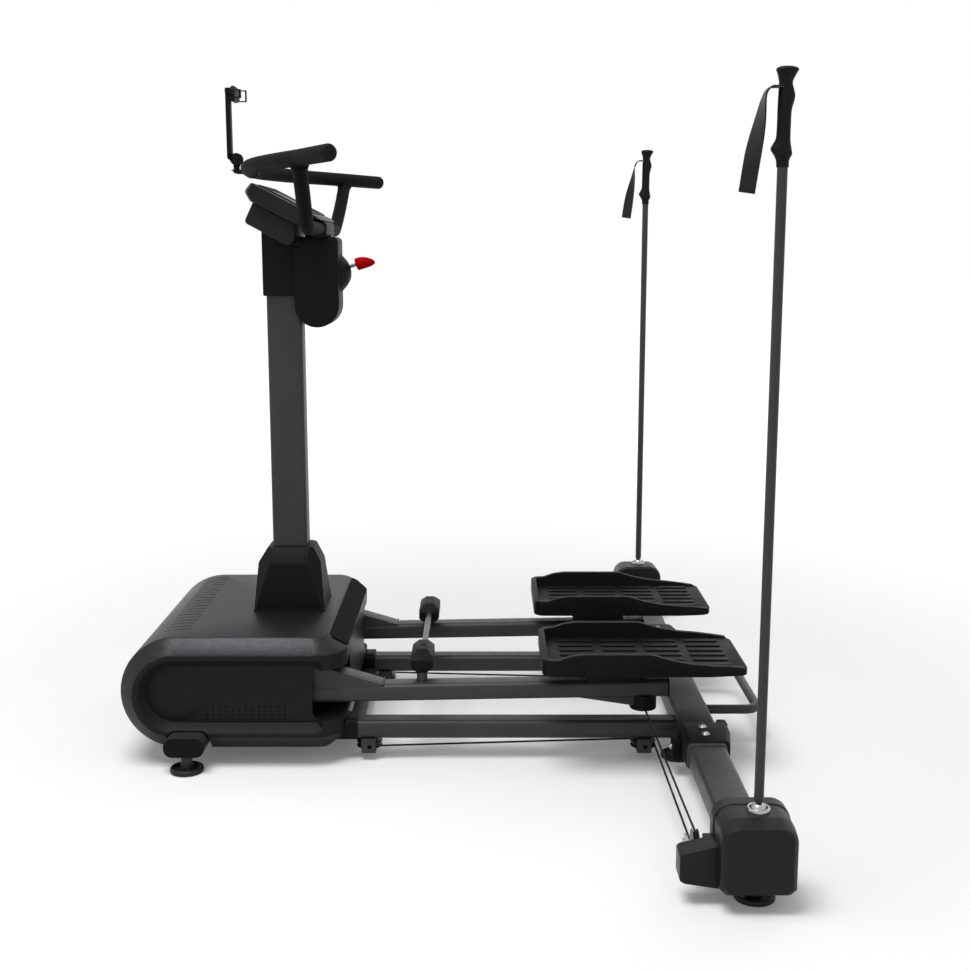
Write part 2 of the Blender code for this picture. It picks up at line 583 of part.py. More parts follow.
def make_shaft():
    low = POLE_BALL_Z - 0.002 + 0.0142
    return lathe("pole_shaft_left", "z", (POLE_X, -POLE_Y, 0.0),
                 [(0.0070, low), (POLE_R, low + 0.004), (POLE_R, GRIP_LOW + 0.013), (0.0060, GRIP_LOW + 0.013),
                  (0.0060, GRIP_TOP - 0.042)], 16)


def make_grip():
    """Moulded grip: half widths to the front and to the rear of the pole at each height."""
    profile = [(1.1770, 0.0094, 0.0094), (1.1875, 0.0103, 0.0095), (1.1957, 0.0144, 0.0134), (1.2034, 0.0194, 0.0122),
               (1.2109, 0.0154, 0.0108), (1.2202, 0.0110, 0.0101), (1.2412, 0.0106, 0.0101), (1.2599, 0.0106, 0.0106),
               (1.2786, 0.0103, 0.0156), (1.2900, 0.0100, 0.0130), (1.2996, 0.0098, 0.0106), (1.3100, 0.0118, 0.0150),
               (1.3172, 0.0144, 0.0192), (1.3200, 0.0130, 0.0180), (GRIP_TOP, 0.0060, 0.0100)]
    rings = []
    for z, front, rear in profile:
        deep = min(front, rear) * 0.9 + 0.0010
        loop = []
        for i in range(16):
            t = 2 * math.pi * i / 16
            reach = rear if math.cos(t) > 0 else front
            loop.append((POLE_X + reach * math.cos(t), -POLE_Y + deep * math.sin(t), z))
        rings.append(loop)
    grip = loft("pole_grip_left", rings)
    cut(grip, cyl_z("tool", POLE_X, -POLE_Y, POLE_R + GAP, GRIP_LOW - 0.08, GRIP_LOW + 0.0133, 16))
    cut(grip, cyl_z("tool", POLE_X, -POLE_Y, 0.0060 + GAP, GRIP_LOW + 0.003, GRIP_TOP - 0.0417, 16))
    return cut(grip, box("tool", POLE_X - 0.030, POLE_X - 0.0040, -POLE_Y - 0.0130, -POLE_Y + 0.0130,
                         STRAP_Z - 0.0023, STRAP_Z + 0.0022))


def make_strap():
    """Doubled webbing: level in its slot, turning broadside as it hangs."""
    run = [(-0.0045, 0.0), (-0.0140, 0.0002), (-0.0225, 0.0016), (-0.0305, 0.0140), (-0.0365, 0.0530),
           (-0.0450, 0.1010), (-0.0522, 0.1530)]
    pts = smooth([(POLE_X + x, -POLE_Y, STRAP_Z - drop) for x, drop in run], 3)
    rings = []
    for i, p in enumerate(pts):
        a = pts[max(i - 1, 0)]
        b = pts[min(i + 1, len(pts) - 1)]
        t = (b - a).normalized()
        turn = min(max((STRAP_Z - 0.012 - p.z) / 0.112, 0.0), 1.0) * math.pi / 2
        flat = Vector((0, 1, 0))
        wide = flat * math.cos(turn) + flat.cross(t) * math.sin(turn)
        thick = t.cross(wide)
        w, h = 0.0122, 0.0015
        rings.append([p + wide * w + thick * h, p - wide * w + thick * h, p - wide * w - thick * h,
                      p + wide * w - thick * h])
    return loft("wrist_strap_left", rings)


def make_arm():
    def section(x, mid, half):
        return [(x, a, b) for a, b in rounded(-ARM_Y - ARM_W / 2, -ARM_Y + ARM_W / 2, mid - half, mid + half,
                                               TUBE_CORNER, 3)]
    arm = loft("swing_arm_left", [section(PIVOT_X, 0.1415, 0.0185), section(ARM_END, 0.1556, 0.0185)])
    bore = loft("tool", [[(x, -ARM_Y + a, mid + b) for a, b in rounded(-0.022, 0.022, -0.0155, 0.0155, 0.008)]
                         for x, mid in ((-0.300, 0.1423), (0.500, 0.1563))])
    cut(arm, bore)
    web = [(-0.136, 0.1600), (-0.136, 0.1640), (-0.300, 0.2130), (-0.345, 0.2130), (-0.345, 0.1500)]
    join(arm, along_y("tool", web, -ARM_Y - 0.0230, -ARM_Y + 0.0230))
    join(arm, cyl_z("tool", PIVOT_X, -ARM_Y, 0.0300, 0.1000, 0.2150, 24))
    cut(arm, cyl_z("tool", PIVOT_X, -ARM_Y, 0.0183, 0.0500, 0.2500, 20))
    join(arm, box("tool", 0.290, 0.410, -0.2510, -0.2050, 0.1600, 0.2127))
    join(arm, cyl_z("tool", 0.408, -ARM_Y, 0.0280, 0.1075, 0.1400, 20))
    wedge = [(0.275, 0.1360), (0.275, 0.1340), (0.385, 0.1170), (0.408, 0.1170), (0.408, 0.1450), (0.300, 0.1450)]
    join(arm, along_y("tool", wedge, -ARM_Y - 0.0180, -ARM_Y + 0.0180))
    join(arm, cyl_z("tool", LINK_X, -ARM_Y, 0.0080, 0.1550, 0.2140, 14))
    join(arm, cyl_z("tool", LINK_X, -ARM_Y, 0.0110, 0.1550, 0.1859, 14))
    return arm


def make_link():
    octagon = circle(LINK_X, 0.2080, 0.0235, 8, math.pi / 8)
    bar = along_y("link_bar", octagon, -0.241, -0.150)
    join(bar, along_y("tool", octagon, 0.150, 0.241))
    join(bar, cyl_y("tool", LINK_X, 0.2080, 0.0060, -0.160, 0.160, 12))
    for s in (-1, 1):
        cut(bar, cyl_z("tool", LINK_X, s * ARM_Y, 0.0084 if s < 0 else 0.0095, 0.150, 0.2150, 14))
    return bar


def pedal_plan():
    """Plan of the pedal tray: round toe corners, tapered heel with smaller rounds."""
    toe = 0.024
    turns = [math.radians(a) for a in (0, 30, 60, 90)]
    plan = [(0.192 + toe - toe * math.sin(t), -0.103 - toe + toe * math.cos(t)) for t in turns]
    plan += [(0.192 + toe - toe * math.cos(t), -0.353 + toe - toe * math.sin(t)) for t in turns]
    return plan + [(0.530, -0.353), (0.590, -0.343), (0.601, -0.336), (0.605, -0.320), (0.605, -0.132),
                   (0.601, -0.118), (0.590, -0.111), (0.530, -0.103)]


def make_pedal():
    low = 0.2130
    pedal = along_z("pedal_left", pedal_plan(), low, 0.2270)
    side = [(0.180, 0.2150), (0.180, 0.2440), (0.203, 0.2470), (0.222, 0.2465), (0.246, 0.2550), (0.272, 0.2590),
            (0.410, 0.2590), (0.450, 0.2470), (0.490, 0.2395), (0.565, 0.2330), (0.598, 0.2290), (0.598, 0.2150)]
    walls = along_y("tool", side, -0.3600, -0.0960)
    combine(walls, along_z("tool2", pedal_plan(), 0.200, 0.270), "INTERSECT")
    cut(walls, box("tool2", 0.2035, 0.640, -0.3415, -0.1145, 0.2265, 0.290))
    return join(pedal, walls)


def arc(cx, cy, r, a0, a1, steps):
    return [(cx + r * math.cos(math.radians(a0 + (a1 - a0) * i / steps)),
             cy + r * math.sin(math.radians(a0 + (a1 - a0) * i / steps))) for i in range(steps + 1)]


def make_long_cable():
    """From the drum, round the guide stud, both rail pulleys and the pole box pulley."""
    pts = [(x, -DRUM_Y, z) for x, z in arc(WHEEL_X, WHEEL_Z, DRUM_R + 0.0004, 195, 255.3, 7)]
    pts += [(-0.225, -DRUM_Y, PULLEY_Z + 0.004), (-0.2100, -DRUM_Y, PULLEY_Z)]
    pts += [(x, y, PULLEY_Z) for x, y in arc(-0.1998, -0.0602, 0.0102, 90, 0, 4)]
    pts += [(x, y, PULLEY_Z) for x, y in arc(FRONT_PULLEY_X, -RAIL_Y, PULLEY_RUN_R, 180, 274.5, 7)]
    pts += [(x, y, PULLEY_Z) for x, y in arc(REAR_PULLEY_X, -RAIL_Y, PULLEY_RUN_R, 94.5, 0, 7)]
    for y, z in arc(-BOX_PULLEY_Y, BOX_PULLEY_Z, BOX_RUN_R, 272.8, 92, 8):
        pts.append((BOX_PULLEY_X, y, z))
    pts.append((BOX_PULLEY_X, -BOX_PULLEY_Y + 0.004, BOX_PULLEY_Z + BOX_RUN_R))
    return sweep("long_cable_left", pts, CABLE_R, 6)


def make_arm_cable():
    top = BOX_PULLEY_Z + BOX_RUN_R
    pts = [(BOX_PULLEY_X, -BOX_PULLEY_Y + 0.0045, top), (0.4240, -0.660, 0.0972), (0.4200, -0.500, 0.0992),
           (0.4165, -0.360, 0.1010), (0.4140, -0.262, 0.1022), (0.4130, -0.240, 0.1026), (0.4130, -0.232, 0.1038),
           (0.4130, -0.2300, 0.1058)]
    return sweep("arm_cable_left", pts, CABLE_R, 6)


clear_scene()
make_main_frame()
make_housing()
mirrored(make_side_cover(), "side_cover_right")
make_flywheel()
mirrored(make_drum(), "cable_drum_right")
make_brake_shoe()
make_mast()
make_boot()
make_collar()
make_console()
make_handlebar()
make_pod()
make_lever()
make_knob()
make_phone_holder()
for spot, foot_x, foot_y, foot_top in (("front", -0.535, -CROSS_HALF + 0.021, 0.0349),
                                       ("rear", 0.482, -RAIL_Y - 0.0085, 0.0447),
                                       ("outer", POLE_X, -POLE_Y + 0.008, 0.0257)):
    mirrored(make_foot("foot_" + spot + "_left", foot_x, foot_y, foot_top), "foot_" + spot + "_right")
make_rear_beam()
mirrored(make_joint_block(), "beam_joint_right")
mirrored(make_outer_beam(), "outer_beam_right")
mirrored(make_pole_box(), "pole_box_right")
mirrored(make_box_pulley(), "box_pulley_right")
mirrored(make_rail_pulley("front_pulley_left", FRONT_PULLEY_X), "front_pulley_right")
mirrored(make_rail_pulley("rear_pulley_left", REAR_PULLEY_X), "rear_pulley_right")
mirrored(make_ball(), "pole_ball_right")
mirrored(make_shaft(), "pole_shaft_right")
mirrored(make_grip(), "pole_grip_right")
mirrored(make_strap(), "wrist_strap_right")
mirrored(make_arm(), "swing_arm_right")
make_link()
mirrored(make_pedal(), "pedal_right")
mirrored(make_long_cable(), "long_cable_right")
mirrored(make_arm_cable(), "arm_cable_right")

# Colour, roughness and metallic value of each kind of surface, and the pieces that carry it
LOOKS = {
    "frame_paint": ((0.035, 0.037, 0.042), 0.45, 0.0, ("main_frame", "rear_beam", "outer_beam", "swing_arm")),
    "mast_paint": ((0.062, 0.066, 0.075), 0.42, 0.0, ("mast", "handlebar")),
    "housing_plastic": ((0.050, 0.055, 0.066), 0.55, 0.0, ("housing_shell", "mast_boot")),
    "panel_plastic": ((0.014, 0.014, 0.016), 0.60, 0.0, ("side_cover",)),
    "black_plastic": ((0.017, 0.017, 0.019), 0.55, 0.0, ("mast_collar", "console_back", "lever_pod", "phone_clamp",
                      "phone_arm", "phone_head", "phone_jaw", "beam_joint", "pole_box", "link_bar", "pedal")),
    "console_gloss": ((0.016, 0.017, 0.019), 0.28, 0.0, ("console_face",)),
    "rubber": ((0.016, 0.016, 0.017), 0.75, 0.0, ("pole_grip", "foot_front", "foot_rear", "foot_outer")),
    "knob_red": ((0.55, 0.012, 0.014), 0.25, 0.0, ("lever_knob",)),
    "chrome_metal": ((0.62, 0.62, 0.64), 0.15, 1.0, ("shift_lever", "pole_ball")),
    "pole_alloy": ((0.085, 0.088, 0.095), 0.35, 0.6, ("pole_shaft",)),
    "webbing": ((0.022, 0.022, 0.024), 0.85, 0.0, ("wrist_strap",)),
    "cable_coat": ((0.015, 0.015, 0.015), 0.50, 0.0, ("long_cable", "arm_cable")),
    "pulley_plastic": ((0.022, 0.022, 0.024), 0.40, 0.0, ("cable_drum", "box_pulley", "front_pulley", "rear_pulley")),
    "flywheel_iron": ((0.12, 0.12, 0.13), 0.40, 1.0, ("flywheel",)),
    "brake_steel": ((0.45, 0.45, 0.46), 0.35, 1.0, ("brake_shoe",)),
}


def paint():
    for look, (colour, roughness, metallic, pieces) in LOOKS.items():
        material = bpy.data.materials.new(look)
        material.use_nodes = True
        shader = material.node_tree.nodes["Principled BSDF"]
        shader.inputs["Base Color"].default_value = (*colour, 1.0)
        shader.inputs["Roughness"].default_value = roughness
        shader.inputs["Metallic"].default_value = metallic
        for piece in pieces:
            for name in (piece, piece + "_left", piece + "_right"):
                obj = bpy.data.objects.get(name)
                if obj is not None:
                    obj.data.materials.clear()
                    obj.data.materials.append(material)


paint()
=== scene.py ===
# Ski simulator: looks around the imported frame.
# Metres, +Z up, +X to the rear of the machine, -Y to the user's left.
import bpy
import bmesh
import math
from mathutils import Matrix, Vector


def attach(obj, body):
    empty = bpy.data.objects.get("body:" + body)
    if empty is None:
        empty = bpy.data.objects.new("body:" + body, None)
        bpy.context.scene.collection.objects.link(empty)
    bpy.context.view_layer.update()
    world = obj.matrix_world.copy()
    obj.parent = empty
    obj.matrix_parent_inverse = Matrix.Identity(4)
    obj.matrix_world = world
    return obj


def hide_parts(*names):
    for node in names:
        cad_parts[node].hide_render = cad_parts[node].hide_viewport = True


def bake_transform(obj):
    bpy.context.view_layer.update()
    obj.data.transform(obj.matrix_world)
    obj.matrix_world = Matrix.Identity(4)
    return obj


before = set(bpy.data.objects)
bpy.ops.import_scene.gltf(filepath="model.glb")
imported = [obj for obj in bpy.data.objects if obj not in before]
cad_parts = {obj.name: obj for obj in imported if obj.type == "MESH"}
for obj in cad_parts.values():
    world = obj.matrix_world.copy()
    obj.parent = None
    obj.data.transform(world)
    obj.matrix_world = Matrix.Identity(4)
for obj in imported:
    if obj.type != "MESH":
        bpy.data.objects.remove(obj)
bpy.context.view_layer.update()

# Housing of the drive
HOUSE_NOSE_X, HOUSE_MID_Z, HOUSE_NOSE_R = -0.558, 0.1535, 0.1185
HOUSE_HALF_W, HOUSE_BEVEL, HOUSE_WALL = 0.3, 0.03, 0.008
HOUSE_TOP_Z = HOUSE_MID_Z + HOUSE_NOSE_R
HOUSE_LOW_Z = HOUSE_MID_Z - HOUSE_NOSE_R
PANEL_INSET, HOUSE_CORNER = 0.0583, 0.075

# Frame tubes
RAIL_Y, RAIL_W, RAIL_LOW, RAIL_TOP = 0.2265, 0.05, 0.045, 0.085
CROSS_X0, CROSS_X1 = -0.578, -0.492
BEAM_X0, BEAM_X1, BEAM_LOW, BEAM_TOP, BEAM_HALF = 0.475, 0.55, 0.05, 0.1, 0.309
TUBE_CORNER = 0.011
JOINT_END, BOX_X0, BOX_X1, BOX_Y0, BOX_Y1 = 0.419, 0.454, 0.578, 0.815, 0.925

# Mast, console and handlebar
MAST_X0, MAST_X1, MAST_HALF, MAST_TOP = -0.392, -0.316, 0.028, 1.05
BAR_Z, BAR_R = 1.22, 0.0155
LEVER_X, LEVER_Z = -0.255, 1.0044
LEVER_END = Vector((-0.201, 0, 1.0228))

# Arms, poles and cables
PIVOT_X, ARM_Y, ARM_W, ARM_HALF, ARM_END = -0.345, 0.228, 0.05, 0.0185, 0.461
ARM_MID_FRONT, ARM_MID_REAR = 0.1415, 0.1556
ARM_MOUTH = (-0.28, -0.15, 0.1, 0.2075)
LINK_X, LINK_Z = -0.055, 0.208
POLE_X, POLE_Y, BALL_Z, POLE_R, GRIP_LOW = 0.521, 0.87, 0.158, 0.008, 1.177
CABLE_R, PULLEY_Z, FRONT_PULLEY_X, REAR_PULLEY_X, RUN_R = 0.002, 0.03, -0.167, 0.41, 0.0226
BOX_PULLEY = Vector((0.428, -0.815, 0.077))
BOX_RUN_R = 0.0186
WHEEL_X, WHEEL_Z, DRUM_R, DRUM_Y = -0.545, 0.168, 0.048, 0.05

# Details
LOUVRES, LOUVRE_FROM, LOUVRE_TO = 20, -0.21, 0.24
CONSOLE_HIGH, CONSOLE_LOW = Vector((-0.4, 0, 1.19)), Vector((-0.262, 0, 1.119))
# each left foot: name, x, y, and the height of the underside that rests on it
FEET = (("front", -0.535, -0.314, 0.0349), ("rear", 0.482, -0.235, 0.0447), ("outer", 0.521, -0.862, 0.0257))
STRAP_W, STRAP_TURN = 0.025, 0.003
STUD_X, STUD_Y = -0.1998, 0.0602
HANDLE_Y, HANDLE_Z = 0.155, 0.077
HOOK_X, HOOK_Y, HOOK_Z = 0.413, 0.23, 0.1058
PHONE_HINGE, HEAD_HINGE = (-0.45, 0, 1.243), (-0.464, 0, 1.383)
POST_TIP, POST_NEXT = (-0.2632, -0.415, 1.2185), (-0.2645, -0.388, 1.193)


# Mesh helpers

def recalc(mesh, weld=True):
    """Faces turned outwards, and points that coincide made one."""
    bm = bmesh.new()
    bm.from_mesh(mesh)
    if weld:
        bmesh.ops.remove_doubles(bm, verts=bm.verts, dist=1e-6)
    bmesh.ops.recalc_face_normals(bm, faces=bm.faces)
    bm.to_mesh(mesh)
    bm.free()


def solid(name, verts, faces):
    mesh = bpy.data.meshes.new(name)
    mesh.from_pydata([tuple(v) for v in verts], [], faces)
    mesh.update()
    recalc(mesh)
    obj = bpy.data.objects.new(name, mesh)
    bpy.context.scene.collection.objects.link(obj)
    return obj


def loft(name, rings, closed=False):
    """A skin through loops of equal length; capped, or joined last to first."""
    count = len(rings[0])
    verts = [p for ring in rings for p in ring]
    faces = []
    spans = len(rings) if closed else len(rings) - 1
    for i in range(spans):
        a = i * count
        b = ((i + 1) % len(rings)) * count
        for j in range(count):
            k = (j + 1) % count
            faces.append((a + j, a + k, b + k, b + j))
    if not closed:
        faces.append(tuple(range(count)))
        faces.append(tuple(range(len(verts) - count, len(verts))))
    return solid(name, verts, faces)


def rounded(a0, a1, b0, b1, r, steps=5):
    """A rectangle with round corners, as a loop of points."""
    loop = []
    centres = ((a1 - r, b1 - r), (a0 + r, b1 - r), (a0 + r, b0 + r), (a1 - r, b0 + r))
    for quarter, (ca, cb) in enumerate(centres):
        for i in range(steps + 1):
            t = math.radians(90 * quarter + 90 * i / steps)
            loop.append((ca + r * math.cos(t), cb + r * math.sin(t)))
    return loop


def corner(before, here, after, r, steps):
    """Arc points that round the corner here, between its two neighbours."""
    p, a, b = Vector(here), Vector(before), Vector(after)
    u, v = (a - p), (b - p)
    half = u.angle(v) / 2
    reach = min(r / max(math.tan(half), 1e-6), 0.45 * u.length, 0.45 * v.length)
    r = reach * math.tan(half)
    u.normalize()
    v.normalize()
    centre = p + (u + v).normalized() * (r / max(math.sin(half), 1e-6))
    start, end = p + u * reach - centre, p + v * reach - centre
    out = []
    for i in range(steps + 1):
        t = i / steps
        turned = start.length > 1e-9 and start.angle(end) > 1e-4
        d = start.slerp(end, t).normalized() * start.length if turned else start
        out.append(tuple(centre + d))
    return out


def fillet(loop, radii, steps=4):
    """Every corner of a closed loop rounded, with one radius or one for each corner."""
    out = []
    for i, p in enumerate(loop):
        r = radii[i] if hasattr(radii, "__len__") else radii
        out += corner(loop[i - 1], p, loop[(i + 1) % len(loop)], r, steps)
    return out


def along_x(name, loop, x0, x1):
    return loft(name, [[(x, a, b) for a, b in loop] for x in (x0, x1)])


def along_y(name, loop, y0, y1):
    return loft(name, [[(a, y, b) for a, b in loop] for y in (y0, y1)])


def along_z(name, loop, z0, z1):
    return loft(name, [[(a, b, z) for a, b in loop] for z in (z0, z1)])


def box(name, x0, x1, y0, y1, z0, z1):
    return along_z(name, [(x0, y0), (x1, y0), (x1, y1), (x0, y1)], z0, z1)


def circle(ca, cb, r, count, turn=0.0):
    loop = []
    for i in range(count):
        t = turn + 2 * math.pi * i / count
        loop.append((ca + r * math.cos(t), cb + r * math.sin(t)))
    return loop


def hoop(centre, side, up, wide, high, count):
    """An oval loop round a centre, across the two given directions."""
    turns = [2 * math.pi * i / count for i in range(count)]
    return [centre + side * wide * math.cos(t) + up * high * math.sin(t) for t in turns]


def lathe(name, axis, centre, profile, count=40, ring=False):
    """Turn (radius, height) points about an axis through centre; ring leaves a bore."""
    x, y, z = centre
    rings = []
    for r, h in profile:
        turned = circle(0, 0, r, count)
        if axis == "z":
            rings.append([(x + a, y + b, z + h) for a, b in turned])
        elif axis == "y":
            rings.append([(x + a, y + h, z + b) for a, b in turned])
        else:
            rings.append([(x + h, y + a, z + b) for a, b in turned])
    return loft(name, rings, closed=ring)


def even(half):
    """A lathe profile and its reflection in the plane of height 0."""
    return half + [(r, -h) for r, h in reversed(half) if h]


def rod(name, axis, centre, r, low, high, count=32, edge=0.0006):
    """A turned pin with its rims broken."""
    profile = [(r - edge, low), (r, low + edge), (r, high - edge), (r - edge, high)]
    return lathe(name, axis, centre, profile, count)


def smooth(points, per=4):
    """Catmull-Rom points through the given ones."""
    pts = [Vector(p) for p in points]
    out = []
    for i in range(len(pts) - 1):
        p0 = pts[i - 1] if i else 2 * pts[0] - pts[1]
        p1, p2 = pts[i], pts[i + 1]
        p3 = pts[i + 2] if i + 2 < len(pts) else 2 * pts[-1] - pts[-2]
        for k in range(per):
            t = k / per
            out.append(0.5 * (2 * p1 + (p2 - p0) * t + (2 * p0 - 5 * p1 + 4 * p2 - p3) * t * t
                              + (3 * p1 - p0 - 3 * p2 + p3) * t ** 3))
    out.append(pts[-1])
    return out


def frames(path):
    """Point, tangent, side and up along a path."""
    pts = [Vector(p) for p in path]
    out = []
    side = None
    for i, p in enumerate(pts):
        t = (pts[min(i + 1, len(pts) - 1)] - pts[max(i - 1, 0)]).normalized()
        if side is None:
            ref = Vector((0, 0, 1)) if abs(t.z) < 0.9 else Vector((1, 0, 0))
            side = t.cross(ref).normalized()
        side = (side - t * side.dot(t)).normalized()
        out.append((p, t, side, t.cross(side)))
    return out


def sweep(name, path, radius, count=24):
    """A round tube along a path."""
    return loft(name, [hoop(p, side, up, radius, radius, count) for p, _, side, up in frames(path)])


def bake(obj):
    """The mesh as its modifiers leave it."""
    bpy.context.view_layer.update()
    graph = bpy.context.evaluated_depsgraph_get()
    mesh = bpy.data.meshes.new_from_object(obj.evaluated_get(graph))
    obj.modifiers.clear()
    obj.data = mesh
    return obj


def edge_bevel(obj, width, segments):
    mod = obj.modifiers.new("edges", "BEVEL")
    mod.width = width
    mod.segments = segments
    mod.limit_method = "ANGLE"
    return mod


def soft(obj, width, segments=3, angle=30):
    """Edges sharper than the angle rounded off."""
    edge_bevel(obj, width, segments).angle_limit = math.radians(angle)
    return bake(obj)


def block(x0, x1, y0, y1, z0, z1, edge=0.0015, segments=3):
    return soft(box("block", x0, x1, y0, y1, z0, z1), edge, segments)


def pair(side, near, far):
    """Two distances from the middle plane as y values on one side of it, in rising order."""
    return sorted((side * near, side * far))


def combine(obj, tool, operation):
    """One boolean step, which uses the tool up."""
    mod = obj.modifiers.new("shape", "BOOLEAN")
    mod.operation = operation
    mod.solver = "EXACT"
    mod.object = tool
    old = obj.data
    bake(obj)
    obj.data.name = obj.name
    bpy.data.meshes.remove(old)
    bpy.data.objects.remove(tool, do_unlink=True)
    return obj


def join(obj, *tools):
    for tool in tools:
        combine(obj, tool, "UNION")
    return obj


def cut(obj, *tools):
    for tool in tools:
        combine(obj, tool, "DIFFERENCE")
    return obj


def group(name, objs):
    """Several meshes as one object, kept as loose parts."""
    verts, faces = [], []
    for o in objs:
        base = len(verts)
        verts += [v.co.copy() for v in o.data.vertices]
        faces += [tuple(base + i for i in p.vertices) for p in o.data.polygons]
        bpy.data.objects.remove(o, do_unlink=True)
    return solid(name, verts, faces)


def mirrored(obj, name):
    verts = [(v.co.x, -v.co.y, v.co.z) for v in obj.data.vertices]
    faces = [tuple(reversed(p.vertices)) for p in obj.data.polygons]
    return solid(name, verts, faces)


# Materials

WHITE = (1.0, 1.0, 1.0, 1.0)
LOOK = {}


def feed(tree, node, inputs):
    """Each named input set to its value, or linked to the socket that is given for it."""
    for key, value in inputs.items():
        if isinstance(value, bpy.types.NodeSocket):
            tree.links.new(value, node.inputs[key])
        else:
            node.inputs[key].default_value = value
    return node


def spread(tree, value, low, high, out_low, out_high):
    limits = {"Value": value, "From Min": low, "From Max": high, "To Min": out_low, "To Max": out_high}
    return feed(tree, tree.nodes.new("ShaderNodeMapRange"), limits).outputs["Result"]


def surface(name, colour, rough, metallic=0.0, specular=0.25, grain=0.15, grain_size=0.001, mottle=0.08,
            sparkle=0.0, sheen=0.0, rough_span=0.06, edge_tint=1.0):
    """A moulded or painted look: mottled colour, uneven gloss, fine grain and optional metal flakes."""
    mat = bpy.data.materials.new(name)
    LOOK[name] = mat
    mat.use_nodes = True
    tree = mat.node_tree
    where = tree.nodes.new("ShaderNodeTexCoord").outputs["Object"]

    def noise(scale, detail):
        inputs = {"Scale": scale, "Detail": detail, "Vector": where}
        return feed(tree, tree.nodes.new("ShaderNodeTexNoise"), inputs).outputs["Fac"]

    def blend_colour(factor, a, b):
        node = tree.nodes.new("ShaderNodeMix")
        node.data_type = "RGBA"
        return feed(tree, node, {"Factor": factor, "A": a, "B": b}).outputs["Result"]

    low = (*(c * (1 - mottle) for c in colour), 1.0)
    high = (*(c * (1 + mottle) for c in colour), 1.0)
    tone = blend_colour(spread(tree, noise(11.0, 4.0), 0.3, 0.7, 0.0, 1.0), low, high)
    if sparkle:
        flakes = spread(tree, noise(1400.0, 0.0), 0.7, 0.78, 0.0, sparkle)
        tone = blend_colour(flakes, tone, (0.55, 0.58, 0.64, 1.0))
    gloss = spread(tree, noise(60.0, 3.0), 0.3, 0.7, rough - rough_span, rough + rough_span)
    shader = feed(tree, tree.nodes["Principled BSDF"], {
        "Base Color": tone, "Roughness": gloss, "Metallic": metallic, "Specular IOR Level": specular,
        "Specular Tint": (edge_tint, edge_tint, edge_tint, 1.0), "Sheen Weight": sheen})
    if grain:
        bump = feed(tree, tree.nodes.new("ShaderNodeBump"), {
            "Strength": grain, "Distance": grain_size * 0.4, "Height": noise(1.0 / grain_size, 2.0)})
        feed(tree, shader, {"Normal": bump.outputs["Normal"]})
    return tree, shader


def woven(name, colour, pitch=0.0016):
    """Flat webbing: diagonal ribs of yarn, read from each strap's own across and along coordinates."""
    tree, shader = surface(name, colour, 0.85, specular=0.15, grain=0.0, sheen=0.25, mottle=0.18)
    lie = tree.nodes.new("ShaderNodeAttribute")
    lie.attribute_name = "lie"
    wave = tree.nodes.new("ShaderNodeTexWave")
    wave.bands_direction = "DIAGONAL"
    feed(tree, wave, {"Scale": 0.3 / pitch, "Vector": lie.outputs["Vector"]})
    bump = feed(tree, tree.nodes.new("ShaderNodeBump"), {
        "Strength": 0.8, "Distance": 0.0004, "Height": wave.outputs["Fac"]})
    feed(tree, shader, {"Normal": bump.outputs["Normal"]})


surface("frame_paint", (0.033, 0.0335, 0.035), 0.4, specular=0.28, grain=0.22, grain_size=0.0011, mottle=0.1)
surface("mast_paint", (0.026, 0.0265, 0.028), 0.46, specular=0.3, grain=0.2)
surface("housing_plastic", (0.0275, 0.028, 0.0295), 0.38, metallic=0.78, specular=0.2, grain=0.25,
        grain_size=0.0008, sparkle=0.25, mottle=0.03, rough_span=0.02, edge_tint=0.72)
surface("panel_plastic", (0.007, 0.007, 0.008), 0.55, specular=0.16, grain=0.25, grain_size=0.0009,
        mottle=0.03, rough_span=0.02)
surface("fascia_plastic", (0.005, 0.005, 0.006), 0.55, specular=0.012, grain=0.1, grain_size=0.0009,
        mottle=0.03, rough_span=0.02)
surface("black_plastic", (0.0045, 0.0045, 0.005), 0.5, specular=0.09, grain=0.3, rough_span=0.03)
surface("box_plastic", (0.008, 0.008, 0.0085), 0.4, specular=0.19, grain=0.25, mottle=0.04, rough_span=0.02)
surface("console_gloss", (0.008, 0.008, 0.009), 0.34, specular=0.18, grain=0.1, grain_size=0.0008)
surface("screen_glass", (0.006, 0.007, 0.008), 0.3, specular=0.15, grain=0.0, rough_span=0.01, mottle=0.02)
surface("pedal_plastic", (0.004, 0.004, 0.0045), 0.48, specular=0.09, grain=0.35, grain_size=0.0012)
surface("grip_rubber", (0.0055, 0.0055, 0.006), 0.6, specular=0.12, grain=0.5, grain_size=0.0012,
        mottle=0.14)
surface("bar_foam", (0.005, 0.005, 0.0055), 0.75, specular=0.06, grain=0.6)
surface("foot_rubber", (0.009, 0.009, 0.01), 0.5, specular=0.28, grain=0.25, grain_size=0.0012)
surface("knob_red", (0.36, 0.002, 0.002), 0.5, specular=0.008, grain=0.05, grain_size=0.002, mottle=0.04)
surface("chrome_metal", (0.4, 0.4, 0.41), 0.2, metallic=1.0, specular=0.5, grain=0.04, grain_size=0.0015,
        mottle=0.04, rough_span=0.04)
surface("pole_alloy", (0.038, 0.039, 0.04), 0.4, metallic=0.25, grain=0.1, grain_size=0.0009, mottle=0.07)
woven("webbing", (0.02, 0.019, 0.018))
surface("cable_coat", (0.003, 0.003, 0.003), 0.45, specular=0.15, grain=0.1, grain_size=0.0006)
surface("pulley_plastic", (0.01, 0.01, 0.011), 0.35, specular=0.35, grain=0.1)
surface("dark_steel", (0.1, 0.1, 0.105), 0.34, metallic=0.8, specular=0.4, grain=0.08, mottle=0.06)
surface("flywheel_iron", (0.16, 0.16, 0.17), 0.38, metallic=1.0, specular=0.5, grain_size=0.0012,
        mottle=0.12)
